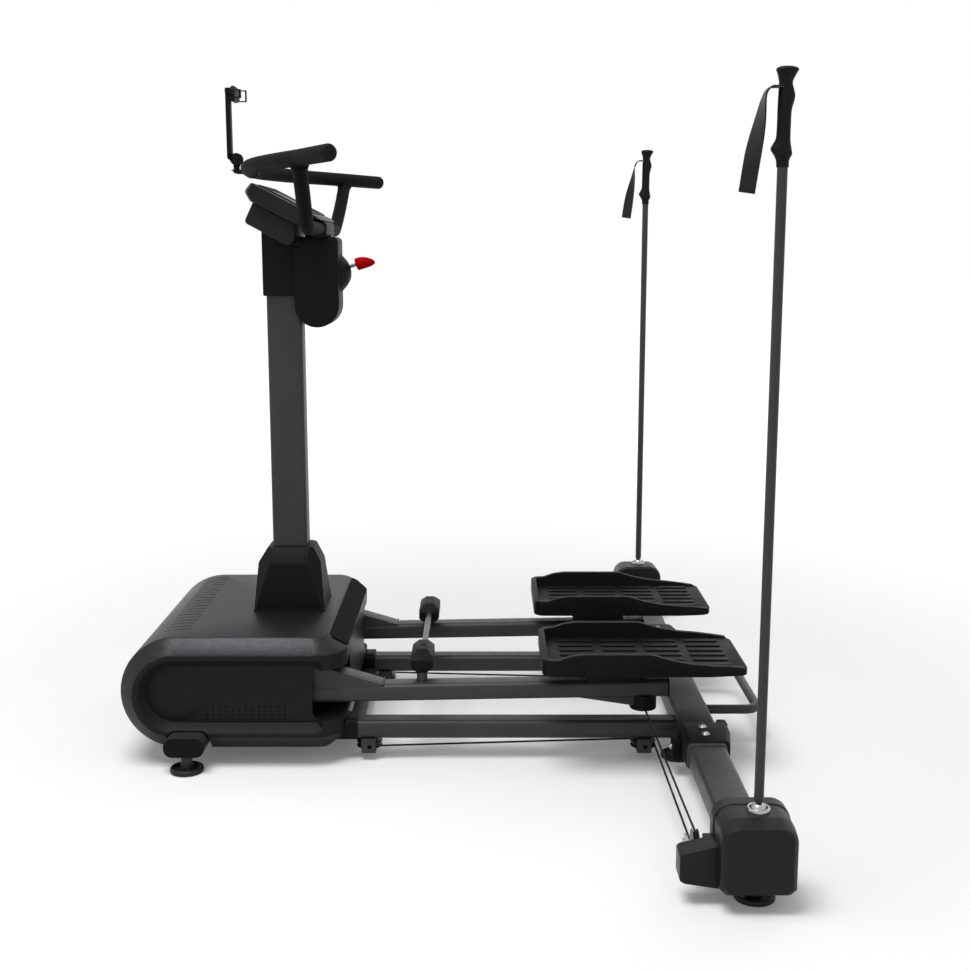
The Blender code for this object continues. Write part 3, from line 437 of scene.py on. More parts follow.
surface("brake_steel", (0.45, 0.45, 0.46), 0.32, metallic=1.0, specular=0.5, grain=0.1, mottle=0.1)


def dress(obj, look, body, *nodes, angle=32):
    """Material, shading, the body a piece rides on and the frame nodes it stands for."""
    obj.data.materials.clear()
    obj.data.materials.append(LOOK[look])
    obj.data.shade_smooth()
    obj.data.set_sharp_from_angle(angle=math.radians(angle))
    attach(obj, body)
    if nodes:
        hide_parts(*nodes)


def both(obj, look, body, *nodes, angle=32):
    """The left piece and its mirror image on the right."""
    other = mirrored(obj, obj.name.replace("_left", "_right"))
    dress(obj, look, body, *nodes, angle=angle)
    nodes = [n.replace("_left", "_right") for n in nodes]
    dress(other, look, body.replace("_left", "_right"), *nodes, angle=angle)


# Stage: floor, light and camera

def seen_rays(tree):
    """1 for rays from the camera and for those that gloss and glass send on, otherwise 0."""
    path = tree.nodes.new("ShaderNodeLightPath")
    total = path.outputs["Is Camera Ray"]
    for other in ("Is Glossy Ray", "Is Transmission Ray"):
        larger = tree.nodes.new("ShaderNodeMath")
        larger.operation = "MAXIMUM"
        total = feed(tree, larger, {0: total, 1: path.outputs[other]}).outputs["Value"]
    return total


def make_world():
    """White where it is seen, and a weaker light for everything else."""
    world = bpy.data.worlds.new("studio")
    bpy.context.scene.world = world
    world.use_nodes = True
    tree = world.node_tree
    shown = feed(tree, tree.nodes["Background"], {"Color": WHITE})
    lit = feed(tree, tree.nodes.new("ShaderNodeBackground"), {"Color": WHITE, "Strength": 0.38})
    mix = feed(tree, tree.nodes.new("ShaderNodeMixShader"), {
        "Fac": seen_rays(tree), 1: lit.outputs["Background"], 2: shown.outputs["Background"]})
    feed(tree, tree.nodes["World Output"], {"Surface": mix.outputs["Shader"]})


def make_floor():
    """White paper that glows more the further it is from the machine."""
    half = 40.0
    floor = solid("floor", [(-half, -half, 0), (half, -half, 0), (half, half, 0), (-half, half, 0)],
                  [(0, 1, 2, 3)])
    mat = bpy.data.materials.new("floor_white")
    mat.use_nodes = True
    tree = mat.node_tree
    paper = feed(tree, tree.nodes["Principled BSDF"], {
        "Base Color": (0.93, 0.93, 0.93, 1.0), "Roughness": 0.9, "Specular IOR Level": 0.1})
    reach = tree.nodes.new("ShaderNodeVectorMath")
    reach.operation = "LENGTH"
    feed(tree, reach, {0: tree.nodes.new("ShaderNodeTexCoord").outputs["Object"]})
    fade = spread(tree, reach.outputs["Value"], 1.1, 4.2, 0.1, 0.75)
    lift = tree.nodes.new("ShaderNodeMath")
    lift.operation = "MULTIPLY"
    feed(tree, lift, {0: seen_rays(tree), 1: fade})
    glow = feed(tree, tree.nodes.new("ShaderNodeEmission"), {"Color": WHITE,
                                                             "Strength": lift.outputs["Value"]})
    total = feed(tree, tree.nodes.new("ShaderNodeAddShader"), {
        0: paper.outputs["BSDF"], 1: glow.outputs["Emission"]})
    feed(tree, tree.nodes["Material Output"], {"Surface": total.outputs["Shader"]})
    floor.data.materials.append(mat)


def make_lights_and_camera():
    for name, place, aim, size, power in (
            ("top_light", (-0.8, -1.25, 4.1), (0.0, 0.0, 0.2), 2.4, 118.0),
            ("side_light", (-3.2, -3.0, 2.4), (0.0, 0.0, 0.4), 2.5, 4.0),
            ("back_light", (3.0, 2.6, 2.8), (0.0, 0.0, 0.5), 2.5, 14.0)):
        data = bpy.data.lights.new(name, "AREA")
        data.shape = "DISK"
        data.size = size
        data.energy = power
        lamp = bpy.data.objects.new(name, data)
        bpy.context.scene.collection.objects.link(lamp)
        lamp.location = place
        lamp.rotation_euler = (Vector(aim) - Vector(place)).to_track_quat("-Z", "Y").to_euler()

    data = bpy.data.cameras.new("photo_camera")
    data.lens = 50.0
    data.sensor_width = 36.0
    camera = bpy.data.objects.new("photo_camera", data)
    bpy.context.scene.collection.objects.link(camera)
    camera.location = (0.075, -2.936, 1.059)
    camera.rotation_euler = (math.radians(80.0), 0.0, -math.radians(0.033))
    bpy.context.scene.camera = camera
    bpy.context.scene.view_settings.view_transform = "Standard"


make_world()
make_floor()
make_lights_and_camera()


# Drive housing and its panels

def mast_loop(gap, r=0.008, steps=6):
    """The mast's outline, grown by gap."""
    return rounded(MAST_X0 - gap, MAST_X1 + gap, -MAST_HALF - gap, MAST_HALF + gap, r, steps)


def crossbar_notch(y0, y1):
    """Room for the front crossbar."""
    loop = rounded(CROSS_X0 - 0.0015, CROSS_X1 + 0.0015, -0.05, 0.08, 0.017)
    return along_y("tool", loop, y0, y1)


def house_loop(inset):
    """Side outline of the housing, moved inwards by inset, with rounded corners."""
    r = HOUSE_NOSE_R - inset
    nose = []
    for i in range(41):
        t = math.radians(90 + 180 * i / 40)
        nose.append((HOUSE_NOSE_X + r * math.cos(t), HOUSE_MID_Z + r * math.sin(t)))
    rear = [(min(-0.236 - 0.402 * inset, -0.214 - inset), HOUSE_LOW_Z + inset),
            (-0.212 - inset, max(0.058 + 0.427 * inset, HOUSE_LOW_Z + inset + 0.002)),
            (-0.212 - inset, 0.2),
            (-0.209 - inset, min(0.2438 - 0.487 * inset, HOUSE_TOP_Z - inset - 0.003)),
            (min(-0.245 - 0.345 * inset, -0.212 - inset), HOUSE_TOP_Z - inset)]
    chain = [nose[-1]] + rear + [nose[0]]
    loop = list(nose)
    for i, r in enumerate((0.008, 0.006, 0.02, 0.0035, 0.005)):
        loop += corner(chain[i], chain[i + 1], chain[i + 2], r, 3)
    return loop


def rear_outline(inset, rear):
    """Plan of the housing's rear end with its two round corners."""
    side, r = HOUSE_HALF_W - inset, HOUSE_CORNER - inset
    loop = [(-0.9, -side)]
    for i in range(19):
        t = math.radians(5 * i)
        loop.append((rear - r + r * math.sin(t), -side + r - r * math.cos(t)))
    return loop + [(x, -y) for x, y in reversed(loop)]


def rear_keep(grow=0.0002):
    """Room the housing fills at its rear end, drawn in towards its top and bottom."""
    levels = ((0.0, 0.055, -0.266), (0.035, 0.03, -0.234), (0.058, 0.004, -0.211), (0.066, 0.0, -0.208),
              (0.24, 0.0, -0.208), (0.244, 0.0016, -0.2095), (0.27, 0.0265, -0.242), (0.2722, 0.03, -0.2466),
              (0.3, 0.06, -0.285))
    return loft("tool2", [[(x, y, z) for x, y in rear_outline(inset - grow,
                                                              rear)] for z, inset, rear in levels])


def make_housing():
    w, edge = HOUSE_HALF_W, HOUSE_BEVEL
    half = [((-w, edge), 0.003), ((-w + edge, 0.0), 0.007)]
    inner = [((-w + 0.038, HOUSE_WALL), 0.0), ((-w + 0.032, 0.058), 0.001), ((-w + 0.02, 0.058), 0.001),
             ((-w, edge + 0.011), 0.002)]
    plan = half + [((-y, i), r) for (y, i), r in reversed(half)]
    plan += [((-y, i), r) for (y, i), r in reversed(inner)] + inner
    profile = fillet([p for p, r in plan], [r for p, r in plan], 3)
    rings = [[(x, y, z) for x, z in house_loop(inset)] for y, inset in profile]
    shell = loft("housing_skin", rings, closed=True)
    wall = [(-0.299, 0.091), (-0.2145, 0.091), (-0.2145, 0.238), (-0.245, 0.266), (-0.299, 0.268)]
    for s in (-1, 1):
        mouth = rounded(*ARM_MOUTH, 0.008)
        cut(shell, along_y("tool", mouth, *pair(s, 0.165, 0.34)))
        join(shell, along_y("tool", wall, *pair(s, 0.159, 0.165)))
        join(shell, box("tool", -0.299, -0.219, *pair(s, 0.164, 0.2685), 0.091, 0.096))
    combine(shell, rear_keep(), "INTERSECT")
    cut(shell, crossbar_notch(-0.35, 0.35))
    cut(shell, box("tool", -0.262, -0.15, -0.2615, 0.2615, 0.0, 0.0905))
    cut(shell, box("tool", -0.335, -0.25, -0.09, 0.09, 0.0, 0.06))
    cut(shell, along_z("tool", mast_loop(0.001, steps=5), 0.2, 0.4))
    slots = []
    for i in range(LOUVRES):
        y = LOUVRE_FROM + (LOUVRE_TO - LOUVRE_FROM) * i / (LOUVRES - 1)
        slots.append(along_z("slot", rounded(-0.596, -0.54, y - 0.0019, y + 0.0019, 0.0018, 3), 0.25, 0.29))
    cut(shell, group("tool", slots))
    region = along_y("region", house_loop(edge + 0.0015), -0.36, -0.235)
    join(region, box("tool", -0.32, -0.15, -0.36, -0.22, 0.0665, 0.2398))
    rim = shell.copy()
    rim.data = shell.data.copy()
    bpy.context.scene.collection.objects.link(rim)
    rim.name = rim.data.name = "housing_rim_left"
    points = [v.co.copy() for v in region.data.vertices]
    combine(rim, solid("tool", points, [tuple(p.vertices) for p in region.data.polygons]), "INTERSECT")
    other = mirrored(region, "region_right")
    cut(shell, region, other)
    both(rim, "panel_plastic", "base")
    dress(shell, "housing_plastic", "base", "housing_shell")


def make_fascia():
    """Black cover plate over the rear slope, left bare."""
    down = Vector((0.2472 - 0.2092, 0, 0.2438 - HOUSE_TOP_Z)).normalized()
    out = Vector((-down.z, 0, down.x))
    top = Vector((-0.2462, 0, HOUSE_TOP_Z))
    long = 0.0462
    outline = fillet([(0.0006, -0.236), (0.0006, 0.236), (0.013, 0.246), (long, 0.234), (long, -0.234),
                      (0.013, -0.246)], (0.01, 0.01, 0.006, 0.012, 0.012, 0.006), 6)
    rings = []
    for rise, grow in ((-0.004, 0.0), (0.0009, 0.0), (0.0015, -0.0006)):
        ring = []
        for s, y in outline:
            p = top + down * (s + grow * (1 if s > long / 2 else -1)) + out * rise
            ring.append((p.x, y + grow * (1 if y > 0 else -1), p.z))
        rings.append(ring)
    dress(loft("fascia", rings), "fascia_plastic", "base")


def make_side_panels():
    cover = along_y("side_panel_left", house_loop(PANEL_INSET), -0.276, -0.269)
    cut(cover, along_y("tool", rounded(*ARM_MOUTH, 0.01), -0.3, -0.25))
    cut(cover, crossbar_notch(-0.3, -0.25))
    holes = []
    for z, missing in ((0.0985, ()), (0.1075, ()), (0.1165, ()), (0.1255, (4, 5))):
        for i in range(13):
            if i not in missing:
                holes.append(along_y("hole", circle(-0.4984 + 0.01344 * i, z, 0.0016, 10), -0.28, -0.26))
    cut(cover, group("tool", holes))
    both(cover, "panel_plastic", "base", "side_cover_left")
    profile = [(0.0575, 0.0), (0.058, -0.0003), (0.0572, -0.0007), (0.04, -0.0008), (0.001, -0.0008)]
    relief = lathe("relief_left", "y", (-0.556, -0.2756, HOUSE_MID_Z), profile, 72)
    both(relief, "panel_plastic", "base")


# Frame on the floor

def make_bracket(x, side):
    """Bracket of a rail pulley: bridge, two cheeks with a hole, foot plate and pin."""
    y = side * RAIL_Y
    parts = [block(x - 0.015, x + 0.015, y - 0.0305, y + 0.0305, 0.0425, 0.046, 0.0008),
             block(x - 0.015, x + 0.015, y - 0.0305, y + 0.0305, 0.0165, 0.019, 0.0008)]
    for s in (-1, 1):
        y0, y1 = sorted((y + s * 0.0282, y + s * 0.0305))
        cheek = box("cheek", x - 0.015, x + 0.015, y0, y1, 0.018, 0.044)
        cut(cheek, along_y("tool", circle(x + 0.002, PULLEY_Z, 0.0045, 20), y0 - 0.01, y1 + 0.01))
        parts.append(cheek)
    parts.append(rod("pin", "z", (x, y, 0.0), 0.004, 0.017, 0.045))
    parts.append(lathe("head", "z", (x, y, 0.0), [(0.0072, 0.0152), (0.008, 0.016), (0.008, 0.0168)], 6))
    return parts


def make_main_frame():
    parts, sleeves = [], []
    parts.append(along_y("bar", rounded(CROSS_X0, CROSS_X1 - 0.003, 0.0362, 0.077, 0.018, 8), -0.333, 0.333))
    for y0, y1 in ((-0.335, -0.3325), (0.3325, 0.335)):
        loop = rounded(CROSS_X0 + 0.0004, CROSS_X1 - 0.0034, 0.0366, 0.0766, 0.0176, 8)
        sleeves.append(soft(along_y("cap", loop, y0, y1), 0.001, 3))
    for s in (-1, 1):
        rail = rounded(s * RAIL_Y - RAIL_W / 2, s * RAIL_Y + RAIL_W / 2, RAIL_LOW, RAIL_TOP, TUBE_CORNER, 6)
        parts.append(along_x("rail", rail, -0.53, BEAM_X0 - 0.0003))
        outer = rounded(s * RAIL_Y - 0.03, s * RAIL_Y + 0.03, 0.0435, 0.0895, 0.012)
        sleeves.append(soft(along_x("sleeve", outer, -0.238, -0.19), 0.0012))
        centre = (PIVOT_X, s * ARM_Y, 0.0)
        parts.append(rod("post", "z", centre, 0.018, 0.07, 0.218))
        parts.append(rod("post", "z", centre, 0.026, 0.2155, 0.2225, edge=0.0015))
        parts.append(lathe("nut", "z", centre, [(0.0125, 0.222), (0.0125, 0.229), (0.0112, 0.2305)], 6))
        parts.append(rod("post", "z", centre, 0.024, 0.08, 0.0995))
        parts += make_bracket(FRONT_PULLEY_X, s) + make_bracket(REAR_PULLEY_X, s)
        parts.append(block(-0.412, -0.302, *pair(s, 0.15, 0.245), 0.07, 0.099))
        parts.append(block(-0.455, -0.4, *pair(s, 0.03, 0.038), 0.092, 0.24))
        parts.append(block(-0.57, -0.52, *pair(s, 0.086, 0.094), 0.07, 0.19))
        parts.append(rod("stud", "z", (STUD_X, s * STUD_Y, 0.0), 0.008, 0.022, 0.05))
    parts.append(block(-0.412, -0.302, -0.194, 0.194, 0.09, 0.108))
    parts.append(block(-0.216, -0.184, -0.205, 0.205, 0.047, 0.056))
    parts.append(rod("axle", "y", (WHEEL_X, 0, WHEEL_Z), 0.0085, -0.09, 0.09))
    parts.append(rod("pin", "y", (-0.44, 0, 0.225), 0.004, -0.034, 0.034))
    dress(group("frame_tubes", parts), "frame_paint", "base", "main_frame")
    dress(group("rail_sleeves", sleeves), "black_plastic", "base")


def make_rear_beam():
    beam = along_y("rear_tube", rounded(BEAM_X0, BEAM_X1, BEAM_LOW, BEAM_TOP, 0.007), -BEAM_HALF, BEAM_HALF)
    foot = (0.545, -HANDLE_Y)
    path = [foot] + corner(foot, (0.667, -HANDLE_Y), (0.667, -0.06), 0.029, 10)
    path = [(x, y, HANDLE_Z) for x, y in path] + [(x, -y, HANDLE_Z) for x, y in reversed(path)]
    handle = sweep("handle", path, 0.01, 24)
    welds = []
    for s in (-1, 1):
        ring = []
        for i in range(29):
            t = 2 * math.pi * i / 28
            ring.append((0.5505 + 0.002 * abs(math.sin(3 * t)), s * HANDLE_Y + 0.0115 * math.cos(t),
                         HANDLE_Z + 0.0115 * math.sin(t)))
        welds.append(sweep("weld", ring, 0.0021, 8))
    parts = [soft(beam, 0.0008, 2), handle] + welds
    dress(group("rear_tube", parts), "frame_paint", "base", "rear_beam")


def dome_bolt(place, axis, r=0.0075):
    """A domed bolt head on its washer, with a hex socket."""
    profile = [(r * 1.5, 0.0), (r * 1.5, 0.0011), (r * 1.4, 0.0016), (r * 1.02, 0.0016), (r, 0.0024),
               (r * 0.86, 0.0042), (r * 0.62, 0.0052), (r * 0.44, 0.0054), (r * 0.42, 0.003)]
    bolt = lathe("bolt", "z", (0, 0, 0), profile, 24)
    turn = Vector((0, 0, 1)).rotation_difference(Vector(axis))
    for v in bolt.data.vertices:
        v.co = turn @ v.co + Vector(place)
    return bolt


def make_joints():
    y0, y1 = -JOINT_END, -BEAM_HALF - 0.0003
    sections = [[(x, y, z) for x, z in rounded(0.4725, x1, low, 0.1045, 0.012, 6)]
                for y, x1, low in ((y0, 0.559, 0.045), (-0.35, 0.571, 0.041), (y1, 0.572, 0.04))]
    body = soft(loft("joint_left", sections), 0.0045, 4)
    parts = [body, block(0.551, 0.572, y1 - 0.0077, y1 + 0.0223, 0.044, 0.103, 0.005, 4),
             block(0.456, 0.4735, y1 - 0.0377, y1 - 0.0017, 0.036, 0.078, 0.002, 3)]
    both(group("joint_left", parts), "black_plastic", "base", "beam_joint_left")
    bolts = [dome_bolt((x, y, 0.1045), (0, 0, 1), 0.0056) for x, y in ((0.516, -0.339), (0.516, -0.38))]
    bolts += [dome_bolt((0.4558, y1 - 0.02, 0.06), (-1, 0, 0), 0.005)]
    both(group("joint_bolts_left", bolts), "brake_steel", "base")


def make_outer_beams():
    y0 = -BOX_Y0 + 0.0003
    tube = along_y("outer_tube_left", rounded(0.4765, 0.5485, 0.052, 0.0985, 0.008), y0, -JOINT_END - 0.0003)
    loop = rounded(0.4735, 0.5515, 0.049, 0.1015, 0.01)
    ring = along_y("ring", loop, -JOINT_END - 0.012, -JOINT_END - 0.0003)
    both(group("outer_tube_left", [tube, soft(ring, 0.0026, 4)]), "frame_paint", "base", "outer_beam_left")


def box_arch(inset, drop, low=0.026):
    """Cross-section of the pole box: round shoulders, broken lower corners."""
    x0, x1, peak, r = BOX_X0 + inset, BOX_X1 - inset, 0.157 - drop, 0.03 - inset
    loop = [(x0 + 0.01, low), (x0, low + 0.009)]
    turns = [math.radians(a) for a in range(0, 91, 9)]
    loop += [(x0 + r - r * math.cos(t), peak - r + r * math.sin(t)) for t in turns]
    loop += [(x1 - r + r * math.sin(t), peak - r + r * math.cos(t)) for t in turns]
    return loop + [(x1, low + 0.009), (x1 - 0.01, low)]


def make_pole_boxes():
    stations = ((-BOX_Y1, 0.008, 0.009, 0.0365), (-BOX_Y1 + 0.008, 0.0, 0.0065, 0.033),
                (-BOX_Y1 + 0.028, 0.0, 0.0, 0.028), (-0.846, 0.0, 0.0, 0.026))
    rings = [[(x, y, z) for x, z in box_arch(inset, drop, low)] for y, inset, drop, low in stations]
    case = soft(loft("box_case_left", rings), 0.0012, 2, 16)
    stations = ((-0.847, -0.0004, -0.0004), (-0.8455, -0.0022, -0.0018), (-0.82, -0.0022, -0.0018),
                (-BOX_Y0, 0.003, 0.003))
    rim = loft("rim", [[(x, y, z) for x, z in box_arch(inset, drop)] for y, inset, drop in stations])
    for piece in (case, rim):
        cut(piece, rod("tool", "z", (POLE_X, -POLE_Y, 0.0), 0.0176, 0.14, 0.18, edge=0.0001))
    nose = fillet([(0.393, 0.043), (0.393, 0.084), (0.3975, 0.0885), (0.458, 0.103), (0.458, 0.029),
                   (0.401, 0.038)], (0.004, 0.003, 0.004, 0.001, 0.001, 0.004), 3)
    front = soft(along_y("nose", nose, -0.888, -0.842), 0.0026, 3)
    parts = [case, rim, front, block(0.4405, 0.458, -0.85, -0.811, 0.062, 0.092, 0.002)]
    both(group("box_case_left", parts), "box_plastic", "base", "pole_box_left", angle=16)
    cheek = along_x("cheek", rounded(-0.85, -0.8035, 0.0645, 0.0895, 0.004), 0.411, 0.415)
    axle = (0, BOX_PULLEY.y, BOX_PULLEY.z)
    head = [(0.0062, 0.407), (0.007, 0.4082), (0.007, 0.4112)]
    fork = [soft(cheek, 0.0006, 2), rod("pin", "x", axle, 0.004, 0.412, 0.45),
            lathe("head", "x", axle, head, 6)]
    both(group("pulley_fork_left", fork), "brake_steel", "base")
    profile = [(0.0148, 0.15), (0.019, 0.15), (0.0196, 0.159), (0.0192, 0.1618), (0.0184, 0.1636),
               (0.0172, 0.1643), (0.0158, 0.164), (0.0149, 0.1628)]
    ring = lathe("pole_ring_left", "z", (POLE_X, -POLE_Y, 0.0), profile, 48, ring=True)
    both(ring, "chrome_metal", "base")


def make_feet():
    profile = [(0.024, 0.0), (0.033, 0.0008), (0.0342, 0.002), (0.0345, 0.006), (0.0338, 0.0092),
               (0.0318, 0.0108), (0.0296, 0.0106), (0.027, 0.0086), (0.024, 0.0078), (0.012, 0.008)]
    nut = [(0.012, 0.0076), (0.0135, 0.0084), (0.0135, 0.019), (0.0122, 0.02)]
    for spot, x, y, top in FEET:
        name = "foot_" + spot + "_left"
        both(lathe(name + "_pad", "z", (x, y, 0.0), profile, 48), "foot_rubber", name, name)
        stem_r = 0.0118 if top > 0.03 else 0.0062
        parts = [lathe("nut", "z", (x, y, 0.0), nut, 6),
                 rod("stem", "z", (x, y, 0.0), stem_r, 0.0195, top - 0.0004, 32)]
        both(group(name + "_stud", parts), "frame_paint", name)


# Swing arms, link and pedals

def make_arms():
    def section(x, mid, grow=0.0):
        wide = ARM_W / 2 + grow
        low, high = mid - ARM_HALF - grow, mid + ARM_HALF + grow
        return [(x, a, b) for a, b in rounded(-ARM_Y - wide, -ARM_Y + wide, low, high, TUBE_CORNER, 6)]

    slope = (ARM_MID_REAR - ARM_MID_FRONT) / (ARM_END - PIVOT_X)
    tube = loft("arm_left", [section(PIVOT_X, ARM_MID_FRONT),
                             section(ARM_END - 0.004, ARM_MID_REAR - 0.004 * slope)])
    web = fillet([(-0.136, 0.16), (-0.136, 0.164), (-0.3, 0.213), (-0.345, 0.213), (-0.345, 0.15)],
                 (0.0001, 0.001, 0.012, 0.0001, 0.0001), 4)
    gusset = [soft(along_y("web", web, -ARM_Y - 0.0232, -ARM_Y + 0.0232), 0.0016, 3)]
    profile = [(0.0186, 0.1), (0.0292, 0.1), (0.03, 0.1008), (0.03, 0.2142), (0.0292, 0.215), (0.0186, 0.215)]
    hub = lathe("hub", "z", (PIVOT_X, -ARM_Y, 0.0), profile, 48, ring=True)
    bead = [(-0.135, -ARM_Y + 0.023 * math.cos(math.radians(a)), 0.1645) for a in range(0, 181, 6)]
    weld = sweep("weld", bead, 0.0018, 8)
    seat = block(0.29, 0.41, -0.251, -0.205, 0.16, 0.2127, 0.002)
    profile = [(0.006, 0.113), (0.0215, 0.113), (0.0225, 0.108), (0.027, 0.1075), (0.028, 0.1087),
               (0.028, 0.139), (0.0268, 0.1402), (0.006, 0.1402)]
    drum = lathe("drum", "z", (0.408, -ARM_Y, 0.0), profile, 48)
    wedge = [(0.275, 0.136), (0.275, 0.134), (0.385, 0.117), (0.408, 0.117), (0.408, 0.145), (0.3, 0.145)]
    under = soft(along_y("wedge", wedge, -ARM_Y - 0.018, -ARM_Y + 0.018), 0.001, 2)
    profile = [(0.011, 0.155), (0.011, 0.1853), (0.0104, 0.1859), (0.008, 0.1859), (0.008, 0.2135),
               (0.0074, 0.214)]
    stud = lathe("stud", "z", (LINK_X, -ARM_Y, 0.0), profile, 32)
    foot = rod("foot", "z", (LINK_X, -ARM_Y, 0.0), 0.015, 0.158, 0.166, 32)
    parts = [tube, hub, weld, under, stud, foot] + gusset
    both(group("arm_left", parts), "frame_paint", "arm_left", "swing_arm_left")
    cap = loft("arm_cap_left", [section(ARM_END - 0.0042, 0.1555, 0.0006),
                                section(ARM_END - 0.0012, 0.15555, 0.0006),
                                section(ARM_END, ARM_MID_REAR, -0.001)])
    both(group("arm_cap_left", [cap, seat, drum]), "black_plastic", "arm_left", "swing_arm_left")


def make_link():
    parts = []
    for s in (-1, 1):
        octagon = circle(LINK_X, LINK_Z, 0.025, 8, math.pi / 8)
        end = along_y("link_blocks", octagon, *pair(s, 0.133, 0.241))
        shape = [(0.133, 0.193), (0.133, 0.2125), (0.15, 0.234), (0.212, 0.234), (0.241, 0.2125),
                 (0.241, 0.193), (0.236, 0.184), (0.14, 0.184)]
        front = [(s * y, z) for y, z in shape]
        combine(end, along_x("tool", front, LINK_X - 0.05, LINK_X + 0.05), "INTERSECT")
        bore = 0.0084 if s < 0 else 0.0095
        cut(end, rod("tool", "z", (LINK_X, s * ARM_Y, 0.0), bore, 0.15, 0.215, edge=0.0001))
        y = s * 0.193
        cut(end, box("tool", LINK_X - 0.005, LINK_X + 0.005, y - 0.002, y + 0.002, 0.2285, 0.24))
        parts.append(soft(end, 0.0016, 2))
    dress(group("link_blocks", parts), "black_plastic", "link", "link_bar")
    shaft = rod("link_rod", "y", (LINK_X, 0, LINK_Z), 0.0065, -0.16, 0.16)
    dress(shaft, "dark_steel", "link")


def pedal_plan(inset):
    """Plan of the pedal tray: round toe corners, tapered heel with smaller rounds."""
    x0, y0, y1 = 0.192 + inset, -0.353 + inset, -0.103 - inset
    toe = 0.024 - inset * 0.6
    x1, in0, in1, r0, r1 = (0.64, 0.017, 0.013, 0.01, 0.01) if inset else (0.605, 0.012, 0.009, 0.018, 0.03)
    return fillet([(x0, y0), (0.53, y0), (x1, y0 + in0), (x1, y1 - in1), (0.53, y1), (x0, y1)],
                  (toe, 0.05, r0, r1, 0.05, toe), 8)


def make_pedals():
    tray = soft(along_z("tray_left", pedal_plan(0.0), 0.213, 0.227), 0.0012, 2)
    top = [(0.18, 0.215), (0.18, 0.244), (0.203, 0.247), (0.222, 0.2465), (0.246, 0.255), (0.272, 0.259),
           (0.41, 0.259), (0.45, 0.247), (0.49, 0.2395), (0.565, 0.233), (0.598, 0.229), (0.598, 0.215)]
    side = fillet(top, (0.0001, 0.003, 0.01, 0.02, 0.03, 0.03, 0.04, 0.04, 0.05, 0.04, 0.004, 0.0001), 6)
    walls = along_y("side", side, -0.36, -0.096)
    combine(walls, along_z("tool", pedal_plan(-0.0004), 0.214, 0.27), "INTERSECT")
    cut(walls, along_z("tool", pedal_plan(0.0115), 0.2262, 0.29))
    parts = [tray, soft(walls, 0.0018, 3, 40)]
    for row in range(6):
        y = -0.146 - 0.0335 * row
        for x0, x1 in ((0.232, 0.304), (0.322, 0.394), (0.412, 0.484), (0.502, 0.574)):
            rib = along_z("rib", rounded(x0, x1, y - 0.0085, y + 0.0085, 0.0035, 3), 0.2265, 0.2297)
            parts.append(soft(rib, 0.0012, 2, 40))
    both(group("tray_left", parts), "pedal_plastic", "arm_left", "pedal_left")


# Mast, console and handlebar

def make_mast():
    outer, inner = mast_loop(0.0), mast_loop(-0.003, 0.005)
    low, top = 0.1083, MAST_TOP
    levels = ((outer, low), (outer, top), (inner, top), (inner, low))
    rings = [[(a, b, z) for a, b in loop] for loop, z in levels]
    dress(loft("mast_tube", rings, closed=True), "mast_paint", "base", "mast")

    low = HOUSE_TOP_Z + 0.0003
    levels = [(low, -0.432, -0.275, 0.07, 0.003), (low + 0.0022, -0.432, -0.275, 0.07, 0.003),
              (low + 0.003, -0.4308, -0.2762, 0.0688, 0.004), (0.3735, -0.4232, -0.2858, 0.0618, 0.026),
              (0.377, -0.4218, -0.287, 0.0602, 0.027), (0.407, -0.403, -0.3015, 0.0408, 0.01),
              (0.409, -0.4005, -0.3035, 0.0386, 0.009)]
    rings = []
    for z, x0, x1, half, r in levels:
        rings.append([(a, b, z) for a, b in rounded(x0, x1, -half, half, r, 1)])
    boot = loft("boot_cover", rings)
    cut(boot, along_z("tool", mast_loop(0.0006), 0.2, 0.5))
    dress(boot, "black_plastic", "base", "mast_boot", angle=24)


def make_collar():
    side = fillet([(-0.3965, 0.957), (-0.3055, 0.957), (-0.3055, 1.0595), (-0.3285, 1.0595),
                   (-0.3965, 1.0957)], (0.003, 0.003, 0.001, 0.001, 0.003), 3)
    collar = soft(along_y("neck_cover", side, -0.038, 0.038), 0.003, 4, 40)
    gap = 0.0003
    cut(collar, along_z("tool", mast_loop(gap), 0.9, MAST_TOP + gap))
    inlay = fillet([(-0.3915, 0.963), (-0.306, 0.963), (-0.306, 1.056), (-0.3915, 1.089)], 0.003, 3)
    inlays = [soft(along_y("inlay", inlay, *pair(s, 0.037, 0.0388)), 0.0006, 2, 40) for s in (-1, 1)]
    dress(group("collar_inlays", inlays), "black_plastic", "base")
    dress(collar, "black_plastic", "base", "mast_collar")


def on_face(along, rise, y=0.0):
    """A place on the console: metres down its slope from the top edge, and off the face."""
    slope = (CONSOLE_LOW - CONSOLE_HIGH).normalized()
    out = Vector((-slope.z, 0, slope.x))
    p = CONSOLE_HIGH + slope * along + out * rise
    return Vector((p.x, y, p.z))


def plate(name, a0, a1, half, rise, edge, r=0.004, low=-0.004):
    """A panel lying on the console's face, with rounded corners."""
    loop = rounded(a0, a1, -half, half, r, 4)
    rings = [[on_face(a, h, y) for a, y in loop] for h in (low, rise)]
    return soft(loft(name, rings), edge, 3, 40)


